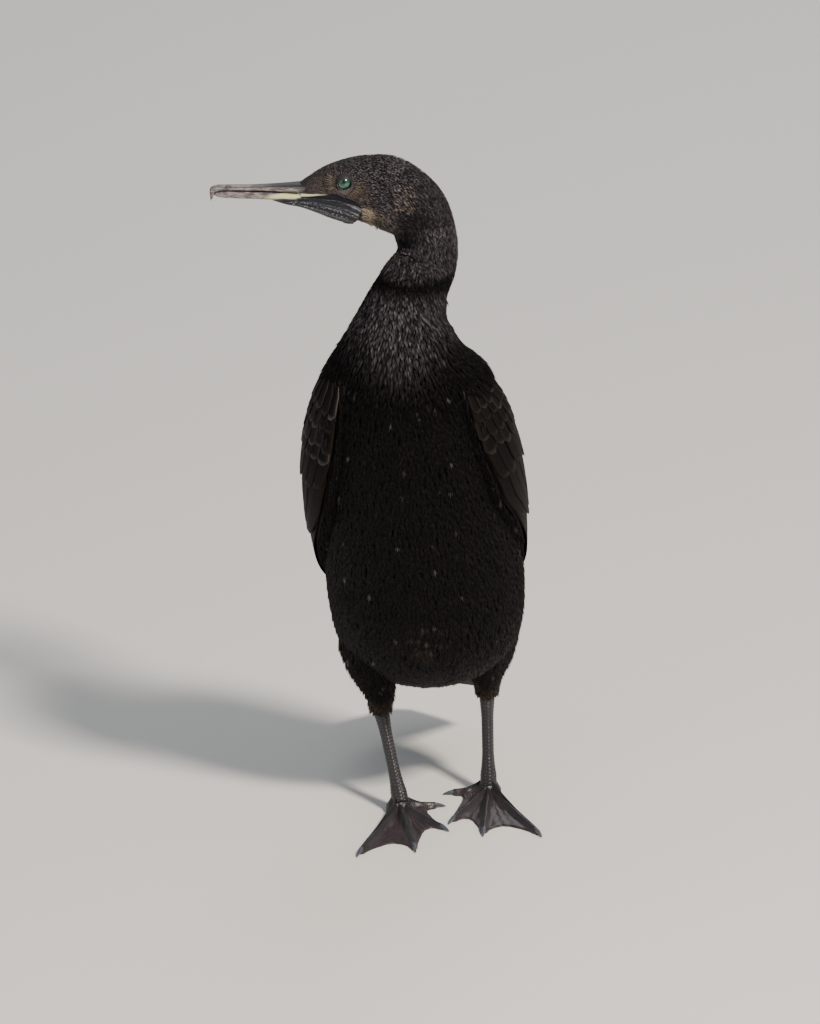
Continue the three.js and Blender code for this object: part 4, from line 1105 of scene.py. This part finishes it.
pouchSkin = pouchFinish("Bare_throat_skin")  # a leathery slate with a painted highlight on its folds
rows = np.linspace(pouchShape["sections"][0][0], pouchShape["sections"][-1][0], pouchShape["rows"])[:, None]
bottom, top, half, lean = (column[:, None] for column in smoothRows(pouchShape["sections"], rows[:, 0]).T)
a = np.linspace(np.pi / 2, 2.5 * np.pi, pouchShape["around"], endpoint=False)[None, :]
high, up = (top - bottom) / 2, np.sin(a)
foldAt = np.radians(np.degrees(np.arcsin(np.clip(up, -1, 1))) + 3.0 * np.sin(rows * 0.13 + a)
                    + 1.6 * np.sin(rows * 0.31 - 2 * a))
foldAt *= pouchShape["folds"]
wrinkle = np.sin(foldAt * 2) * 0.6 + 0.4 * np.sin(foldAt * 4.6 + 1)
out = pouchShape["depthMm"] * (wrinkle - 1) * 0.5 * ease((rows + 119) / 14) * ease((0.93 - up) / 0.12)
wall = np.cos(a)
wall = np.where(up > 0, np.sign(wall) * np.abs(wall) ** 0.35, wall)  # upright where it meets the face
pouchRings = np.stack([rows + lean * up * high, wall * (half + out),
                       (top + bottom) / 2 + np.sign(up) * np.abs(up) ** 0.9 * (high + out)], -1)
x, drop = pouchRings[..., 0], mouthHeight(pouchRings[..., 0]) - pouchRings[..., 2]
# painted highlight on the ridges of the folds, held off near the top of the pouch
paintedFoldHighlight = (0.5 + 0.5 * wrinkle) * (0.15 + 0.85 * ease((0.8 - up) / 0.35))
creamMark = ease((3.4 - 0.09 * (x + 98) - drop) / 0.8) * ease((-77 - x) / 9)
settleLoft("throat_pouch_skin", pouchRings, pouchSkin, {"fold": paintedFoldHighlight, "cream": creamMark},
           "pouch_skin", "throat_pouch")
print("bill and pouch done")

# Eyes: an emerald iris under a wet cornea, with a dark pupil.
eyeLook = {"radius": 6.5, "bulge": 0.4, "pupil": "#010101", "ray": "#03110d", "from": 1.7, "to": 5.8,  # mm
           "irisRings": {0: "#08301f", 0.3: "#0f6146", 0.7: "#0c5540", 0.88: "#07281f", 1: "#04100c"}}


def eyeFinish(name):
    made, tree = startMaterial(name, 0.18, 0.5, {"Coat Weight": 1.0, "Coat Roughness": 0.02})
    ringMm, spoke = readMarks(tree, "ringMm", "spoke")
    ray = addNode(tree, "ShaderNodeTexNoise", {"noise_dimensions": "1D"},
                  {"W": spoke, "Scale": 9.0, "Detail": 3.0})
    rayed = addNode(tree, "ShaderNodeMapRange", {},
                    {"Value": ray.outputs["Fac"], "From Min": 0.3, "From Max": 0.7, "To Max": 0.35})
    share = addNode(tree, "ShaderNodeMapRange", {},
                    {"Value": ringMm, "From Min": eyeLook["from"], "From Max": eyeLook["to"]})
    iris = addNode(tree, "ShaderNodeValToRGB", {}, {"Fac": share.outputs[0]})
    stops, rings = iris.color_ramp.elements, dict(eyeLook["irisRings"])
    stops[0].color, stops[1].color = fromHex(rings.pop(0)), fromHex(rings.pop(1))
    for at, code in rings.items():
        stops.new(at).color = fromHex(code)
    shaded = addNode(tree, "ShaderNodeMix", {"data_type": "RGBA"},
                     {"Factor": rayed.outputs[0], 6: iris.outputs["Color"], 7: fromHex(eyeLook["ray"])})
    pupil = addNode(tree, "ShaderNodeMapRange", {}, {"Value": ringMm, "From Min": 1.65, "From Max": 1.85})
    seen = addNode(tree, "ShaderNodeMix", {"data_type": "RGBA"},
                   {"Factor": pupil.outputs[0], 6: fromHex(eyeLook["pupil"]), 7: shaded.outputs[2]})
    tree.links.new(seen.outputs[2], tree.nodes["Principled BSDF"].inputs["Base Color"])
    return made


eyeGloss = eyeFinish("Wet_cornea_over_iris")  # a clear wet coat gives the highlight over the green
lidSkin = mottledFinish("Bare_lid_skin", {  # a soft dark rim to the eye
    "roughness": 0.45, "specular": 0.5, "perMm": 1.5, "detail": 3.0, "deepMm": 0.3, "dark": "#0e0d10",
    "pale": "#38323a"})
paleGrain = mottledFinish("Pale_skin_papillae", {  # chalky dots on the slate skin
    "roughness": 0.5, "specular": 0.4, "perMm": 0.3, "detail": 2.0, "deepMm": 0, "dark": "#8f8c93",
    "pale": "#cfcac4"})
lidShape = {"long": 8.2, "high": 7.6, "over": 0.3, "roll": 0.35, "thick": 1.0, "sink": -0.9,
            "around": 120, "rows": 16}


def overBall(side, x, z):  # how far aside the lids lie over the eyeball at x and z
    middle = eyeMiddle[side]
    apart2 = (x - middle[0]) ** 2 + (z - middle[2]) ** 2
    reach = (eyeLook["radius"] + lidShape["over"]) ** 2 - apart2
    return abs(middle[1]) + np.sqrt(np.clip(reach, 0.5, None)), apart2 < eyeLook["radius"] ** 2


for side, name in sides:
    axis = unit(np.array([-0.16, -side, 0.22]))
    one = unit(np.cross(axis, [0, 0, 1.0]))
    two = np.cross(one, axis)
    polar, a = np.linspace(0.02, np.pi - 0.02, 56)[:, None], np.linspace(0, 2 * np.pi, 64, endpoint=False)
    reach = eyeLook["radius"] + eyeLook["bulge"] * ridge(polar * 6.5, 0, 4.2)
    aside = reach * np.sin(polar)
    rings = (eyeMiddle[side] + axis * (reach * np.cos(polar))[..., None]
             + (one * np.cos(a)[:, None] + two * np.sin(a)[:, None])[None] * aside[..., None])
    settleLoft("eyeball_" + name, rings, eyeGloss,
               {"ringMm": np.where(polar < np.pi / 2, aside, 9), "spoke": np.abs(a - np.pi)}, "eye", "eye_" + name)
    # Lids: a thin shell of bare skin over the eyeball, from the opening out to the skin of the face.
    turn = np.linspace(0, 2 * np.pi, lidShape["around"], endpoint=False)[:, None]
    share = np.linspace(0, 1, lidShape["rows"])[None, :]
    x = eyeRim["x"] + between((eyeRim["long"], lidShape["long"]), share) * np.cos(turn)
    z = eyeRim["z"] + between((eyeRim["high"], lidShape["high"]), share) * np.sin(turn)
    z += 0.9 * share * np.sin(turn).clip(0)
    ball, overEye = overBall(side, x, z)
    face = np.abs(headSurface(x, z, side, lidShape["sink"])[..., 1])
    lid = ball + (np.minimum(face, ball) - ball) * ease((share - 0.1) / 0.9)
    lid = np.where(overEye, np.maximum(lid, ball), lid)
    lid = lid + lidShape["roll"] * ridge(share, 0, 0.22) + 0.1 * np.sin(turn * 30) * ridge(share, 0.15, 0.12)
    outer, inner = (np.stack([x, -side * (lid - thick), z], -1) for thick in (0, lidShape["thick"]))
    rings = np.concatenate([outer, inner[:, ::-1]], 1)
    rows, around = rings.shape[:2]
    faces = loftFaces(rows + 1, around) % (rows * around)  # the last ring closes on the first
    settle(makePiece("lids_" + name, rings.reshape(-1, 3), faces.tolist(), lidSkin), "plumage")


# Pale papillae: a bead of skin on every root, in a row on the lid and along the folds of the pouch.
def beadTree():
    tree, given = startTree("grains_on_roots", {"Radius": "Float"})
    bead = addNode(tree, "GeometryNodeMeshIcoSphere", {}, {"Radius": given["Radius"], "Subdivisions": 2})
    size = addNode(tree, "FunctionNodeRandomValue", {"data_type": "FLOAT"},
                   {2: 0.55, 3: 1.15, "Seed": given["Seed"]})
    planted = addNode(tree, "GeometryNodeInstanceOnPoints", {},
                      {"Points": given["Roots"], "Instance": bead.outputs["Mesh"], "Scale": size.outputs[1]})
    real = addNode(tree, "GeometryNodeRealizeInstances", {}, {"Geometry": planted.outputs[0]})
    finished = addNode(tree, "GeometryNodeSetMaterial", {},
                       {"Geometry": real.outputs[0], "Material": given["Finish"]})
    addNode(tree, "NodeGroupOutput", {}, {"Grown": finished.outputs[0]})
    return tree


beadPlan = {"radius": 0.26, "onFold": 34, "folds": (-62, -46, -30, -15, 0), "stray": 1.6}
beadRoots = []
rng = np.random.default_rng(70)
for side in (1, -1):
    turn = np.radians(np.arange(-175, -5, 8.0))
    x = eyeRim["x"] + (eyeRim["long"] + 0.5) * np.cos(turn)
    z = eyeRim["z"] + (eyeRim["high"] + 0.5) * np.sin(turn)
    beadRoots.append(np.stack([x, -side * (overBall(side, x, z)[0] + lidShape["roll"]), z], -1))
for fold in beadPlan["folds"]:
    for side in (0, 1):
        row = rng.choice(np.arange(30, 160), beadPlan["onFold"], replace=False)
        turn = np.radians(fold + rng.normal(0, beadPlan["stray"], beadPlan["onFold"]))
        share = (((turn if side else np.pi - turn) - np.pi / 2) % (2 * np.pi)) / (2 * np.pi)
        around = pouchShape["around"]
        beadRoots.append(pouchRings[row, np.round(share * around).astype(int) % around])
chosen = {"Radius": beadPlan["radius"] / 1000, "Seed": 71, "Finish": paleGrain}
grow("papillae", beadTree(), np.concatenate(beadRoots), chosen, "pouch_skin", {}, {})

# Fine pale filoplumes in rays round the eye, as narrow vanes on the skin.
rayPlan = {"near": 7.3, "long": (5.5, 9.5), "short": (1.2, 2.4), "width": 0.34, "thick": 1.3, "pale": 0.6,
           "fans": ((-80, 12, 5.0), (110, 212, 6.0), (212, 280, 9.0), (12, 110, 13.0))}
rayAngles = np.concatenate([np.arange(*fan) for fan in rayPlan["fans"]])
rayEnds = []
for side in (1, -1):
    for angle in rayAngles:
        a = math.radians(angle + rng.uniform(-1.5, 1.5))
        far = rayPlan["near"] + rng.uniform(*rayPlan["long" if angle < 12 or 110 < angle < 212 else "short"])
        ends = [headSurface(eyeRim["x"] + r * math.cos(a), eyeRim["z"] + r * 0.95 * math.sin(a), side, lift)
                for r, lift in ((rayPlan["near"], -0.5), (far, 0.3))]
        if ends[1][2] >= mouthHeight(ends[1][0]) + 1.5:  # none reaches over the mouth
            rayEnds.append((*ends, [0, -side, 0.15]))
roots, tips, out = np.array(rayEnds).transpose(1, 0, 2)
length = np.linalg.norm(tips - roots, axis=1)
paleRay = plumeShape("rayPlume", [(0, 0), (0.25, 0.5), (0.7, 0.35), (1, 0)], [], 0.02)
places = (np.linspace(0.05, 0.95, len(roots)), np.where(roots[:, 1] < 0, 0.3, 0.7))
width, pale = (np.full(len(roots), rayPlan[key]) for key in ("width", "pale"))
plant("eye_ray_plumes", paleRay, roots, unit(tips - roots), out, 0.0, width, length, places, {"buff": pale}, 73,
      rayPlan["thick"])
print("eyes done")

# Legs: horny scales over the shanks, dark with a dull shine and a painted highlight on the raised scales; webbed
# feet, a row of plates along every toe.
legLook = {"leg": ("#131215", "#2a2728"), "web": ("#211c20", "#463b3f"), "paintedScaleHighlight": "#403d43",
           "cloudPerMm": 0.09, "pebblePerMm": 0.9, "roughness": 0.38}


def legFinish(name):
    made, tree = startMaterial(name, legLook["roughness"], 0.5)
    place = addNode(tree, "ShaderNodeTexCoord").outputs["Object"]
    paintedScaleHighlight, onWeb = readMarks(tree, "paintedScaleHighlight", "web")
    cloud = addNode(tree, "ShaderNodeTexNoise", {},
                    {"Vector": place, "Scale": 1000 * legLook["cloudPerMm"], "Detail": 4.0}).outputs["Fac"]
    pebbles = addNode(tree, "ShaderNodeTexVoronoi", {},
                      {"Vector": place, "Scale": 1000 * legLook["pebblePerMm"]})
    # the painted highlight on the raised scales and plates
    much = addNode(tree, "ShaderNodeMath", {"operation": "MULTIPLY"}, {0: paintedScaleHighlight, 1: 0.55})
    leg, web = (addNode(tree, "ShaderNodeMix", {"data_type": "RGBA"},
                        {"Factor": cloud, 6: fromHex(legLook[key][0]), 7: fromHex(legLook[key][1])}).outputs[2]
                for key in ("leg", "web"))
    for share, colour in ((onWeb, web), (much.outputs[0], fromHex(legLook["paintedScaleHighlight"]))):
        leg = addNode(tree, "ShaderNodeMix", {"data_type": "RGBA"}, {"Factor": share, 6: leg, 7: colour}).outputs[2]
    dress(tree, leg, pebbles.outputs["Distance"], 0.35)
    return made


scaleSkin = legFinish("Scaled_leg_skin")  # horny, with a painted highlight on the raised scales and a browner web
clawHorn = mottledFinish("Keratin_claw", {  # smooth grey horn
    "roughness": 0.3, "specular": 0.5, "perMm": 0.35, "detail": 3.0, "deepMm": 0, "dark": "#212329",
    "pale": "#646a75"})
shankPlan = {"low": 15.3, "scaleMm": 2.7, "columns": 11, "reliefMm": 0.34, "around": 132, "rows": 230,
             "widths": [(-0.1, 6.5, 6.5), (0, 6.5, 6.5), (0.12, 5.5, 6.3), (0.3, 4.7, 6.1), (0.65, 4.8, 6.5),
                        (0.88, 5.9, 7.6), (1, 6.8, 8), (1.04, 6.4, 7.6)]}  # share up, across, fore and aft
for side, name in sides:
    heel, joint = np.array(legShape[side]["heel"]), np.array([*legShape[side]["joint"], shankPlan["low"]])
    sections = [(*between((joint, heel), s), a, b) for s, a, b in shankPlan["widths"]]
    rings, table, _, _ = limbRings(sections, shankPlan["around"], shankPlan["rows"])
    column = np.arange(shankPlan["around"])[None, :] / shankPlan["around"] * shankPlan["columns"]
    line = lengthAlong(table[:, :3])[:, None] / shankPlan["scaleMm"] + 0.5 * (np.floor(column) % 2)
    swell = (1 - np.abs(2 * (line % 1) - 1) ** 3) * (1 - np.abs(2 * (column % 1) - 1) ** 3)
    rings = rings + unit(rings - table[:, None, :3]) * ((swell - 1) * shankPlan["reliefMm"])[..., None]
    # painted highlight on the top of every scale
    settleLoft("shank_scales_" + name, rings, scaleSkin, {"paintedScaleHighlight": swell ** 3, "web": 0.0},
               "foot_skin", "shank_" + name)

footPlan = {"knobHeight": 15, "knobRadius": 8.5, "web": 1.5, "toeHeight": 6.2, "toeWidth": 3.7, "claw": 13.8,
            "clawTall": [2.6, 2.75, 2.0, 0.75], "clawHalf": [1.75, 1.65, 1.15, 0.5, 0.12], "plateMm": 2.1}
toes = {-1: [(29, 8), (34, -40), (12, -84), (-30, -94)], 1: [(-28, -1), (-28, -60), (-4, -86), (38, -88)]}


def footRays(plan):  # the foot's outline round its joint: angle and reach over the toes, the webs and the heel
    rays = []
    for k, (angle, reach) in enumerate(plan):
        half = footPlan["toeWidth"] * 0.8 / reach
        rays += [(angle + s * half, reach - 2.5 * abs(s) ** 2.2) for s in np.linspace(-1, 1, 11)]
        if k + 1 == len(plan):
            break
        nextAngle, nextReach = plan[k + 1]
        a, b = (angle + half, reach - 7), (nextAngle - footPlan["toeWidth"] * 0.8 / nextReach, nextReach - 7)
        for s in np.linspace(0.012, 0.988, 30):
            at = between((a[0], b[0]), s)
            chord = a[1] * b[1] * math.sin(b[0] - a[0])
            chord /= a[1] * math.sin(at - a[0]) + b[1] * math.sin(b[0] - at)
            scallop = 0.35 * math.sin(s * 29) * math.sin(math.pi * s) + 4.0 * abs(2 * s - 1) ** 14
            rays.append((at, chord * (1 - 0.13 * math.sin(math.pi * s)) + scallop))
    first, last = plan[0][0], plan[-1][0]
    return np.array(rays + [(last + (2 * math.pi - (last - first)) * s, footPlan["knobRadius"] + 1.5)
                            for s in np.linspace(0, 1, 26)[1:-1]]).T


def footLoft(side, plan, centre):  # rings from the joint out to the edge and under the sole, and their marks
    angle, reach = footRays(plan)
    share = np.linspace(0.03, 1, 84)[:, None] ** 0.9
    r = share * reach
    toeLine, plates, onToe = 0 * r, 0 * r, 0 * r
    for toeAngle, toeReach in plan:
        off = angle - toeAngle
        aside, s = np.abs(r * np.sin(off)), np.minimum(1, r / toeReach)
        knuckle = 1 + 0.16 * np.cos(2 * np.pi * s * 3.2) * (s > 0.2)
        wide = footPlan["toeWidth"] * (1 - 0.35 * s) * knuckle
        line = footPlan["toeHeight"] * (1 - 0.42 * s) * ridge(aside, 0, wide) * (np.cos(off) > 0.2)
        better = line > toeLine
        toeLine = np.maximum(toeLine, line)
        plates = np.where(better, np.abs(np.sin(np.pi * r / footPlan["plateMm"])) ** 0.5, plates)
        onToe = np.where(better, ridge(aside, 0, wide * 0.8), onToe)
    web = footPlan["web"] + 3.5 * np.exp(-r / 16)
    knob = footPlan["knobHeight"] / (1 + (r / footPlan["knobRadius"]) ** 4)
    crease = 0.16 * np.sin(angle * 60 + 0.5 * np.sin(r * 0.5)) * (1 - onToe) * ease((r - 14) / 10)
    net = 0.12 * np.sin(r * 2.4 + 3 * np.sin(angle * 11)) * (1 - onToe)
    height = np.minimum(footPlan["knobHeight"], np.maximum(web + toeLine * 0.8, knob))
    relief = (crease + net) * (height < 6) + 0.42 * (plates - 1) * onToe * ease((r - 7) / 5)
    height = np.maximum(0.5, (height + relief) * np.where(share > 0.985, 0.6, 1))
    top = np.stack([-side * np.cos(angle) * r, np.sin(angle) * r, height], -1) + centre
    under = np.stack([-side * np.cos(angle) * reach, np.sin(angle) * reach, 0 * reach], -1)[None] + centre
    flat = np.zeros((2, len(reach)))
    return (np.concatenate([top, under, between((centre, under), 0.5)]),
            np.concatenate([plates * onToe, flat]), np.concatenate([(1 - onToe) * (height < 7), flat + 1]))


def clawRings(side, centre, toeAngle, toeReach):
    outwards = np.array([-side * math.cos(toeAngle), math.sin(toeAngle), 0])
    acrossToe = np.array([-outwards[1], outwards[0], 0])
    s, a = np.linspace(0, 1, 22), np.linspace(0, 2 * np.pi, 16, endpoint=False)
    tall = curveThrough([0, 0.35, 0.7, 1], footPlan["clawTall"], s)
    half = curveThrough([0, 0.35, 0.7, 0.93, 1], footPlan["clawHalf"], s)[:, None]
    middle = centre + outwards * (toeReach - 6) + outwards[None] * (s * footPlan["claw"])[:, None]
    rings = (middle[:, None] + acrossToe * (np.cos(a) * half)[..., None]
             + np.array([0, 0, 1.0]) * (tall[:, None] + np.sin(a) * half * 1.08)[..., None])
    rings[..., 2] = np.maximum(rings[..., 2], 0.08)
    return rings


for side, name in sides:
    plan = sorted((math.atan2(y, x * -side), math.hypot(x, y)) for x, y in toes[side])
    centre = np.array([*legShape[side]["joint"], 0.0])
    rings, paintedScaleHighlight, onWeb = footLoft(side, plan, centre)
    points, faces = closedLoft(rings)
    points[-2][2], points[-1][2] = footPlan["knobHeight"], 0
    # painted highlight on the plates along the toes
    settle(makePiece("webbed_foot_" + name, points, faces, scaleSkin,
                     {"paintedScaleHighlight": padded(paintedScaleHighlight) * 0.6, "web": padded(onWeb)}), "foot_skin", "foot_" + name)
    claws, clawFaces, count = [], [], 0
    for toeAngle, toeReach in plan:
        points, faces = closedLoft(clawRings(side, centre, toeAngle, toeReach), count)
        count += len(points)
        claws.append(points)
        clawFaces += faces
    settle(makePiece("claws_" + name, np.concatenate(claws), clawFaces, clawHorn), "foot_skin")
print("legs and feet done")

for plume in (facePlume, neckPlume, bodyPlume, paleRay):
    bpy.data.objects.remove(plume)

# Floor, light and camera
floorMesh = bpy.data.meshes.new("floor")
floorMesh.from_pydata([(-9, -6, 0), (9, -6, 0), (9, 14, 0), (-9, 14, 0)], [], [[0, 1, 2, 3]])
matt = startMaterial("Pale_matt_floor", 0.85, 0.2, {"Base Color": fromHex("#eceae6")})[0]  # paint, without glare
floorMesh.materials.append(matt)
addObject("floor", floorMesh)

lights = {  # place, size in metres, watts and colour; the key comes from the right and above, as in the photo
    "key": ((1.7, -2.0, 3.0), 0.55, 190, "#fff4e6"),
    "fill": ((-2.4, -2.6, 1.4), 2.4, 16, "#eaf1ff"),
    "rim": ((0.6, 2.4, 1.9), 1.4, 14, "#ffffff"),
}
target = toFrame([-10, 0, 280])
for name, (place, size, watts, colour) in lights.items():
    data = bpy.data.lights.new(name, "AREA")
    data.size, data.energy, data.color = size, watts, fromHex(colour)[:3]
    lamp = addObject(name, data)
    lamp.location = place
    x, y, z = target - np.array(place)
    lamp.rotation_euler = (math.atan2(math.hypot(x, y), -z), 0, math.atan2(y, x) - math.pi / 2)
world = bpy.data.worlds.new("studio")
world.use_nodes = True
for key, value in (("Color", fromHex("#dfe3e8")), ("Strength", 0.42)):
    world.node_tree.nodes["Background"].inputs[key].default_value = value
bpy.context.scene.world = world

cameraPlan = {"elevation": 20, "away": 20.0, "sensor": 36, "tall": 788.5, "aim": (-15.4, 0, 248.3)}  # tall: in view
cameraData = bpy.data.cameras.new("camera")
cameraData.sensor_fit = "VERTICAL"
cameraData.sensor_height = cameraPlan["sensor"]
cameraData.lens = cameraPlan["sensor"] * cameraPlan["away"] * 1000 / cameraPlan["tall"]
cameraData.clip_end = 200
camera = addObject("camera", cameraData)
rise = math.radians(cameraPlan["elevation"])
camera.location = toFrame(cameraPlan["aim"]) + cameraPlan["away"] * np.array([0, -math.cos(rise), math.sin(rise)])
camera.rotation_euler = (math.pi / 2 - rise, 0, 0)
bpy.context.scene.camera = camera
print("floor, light and camera done")
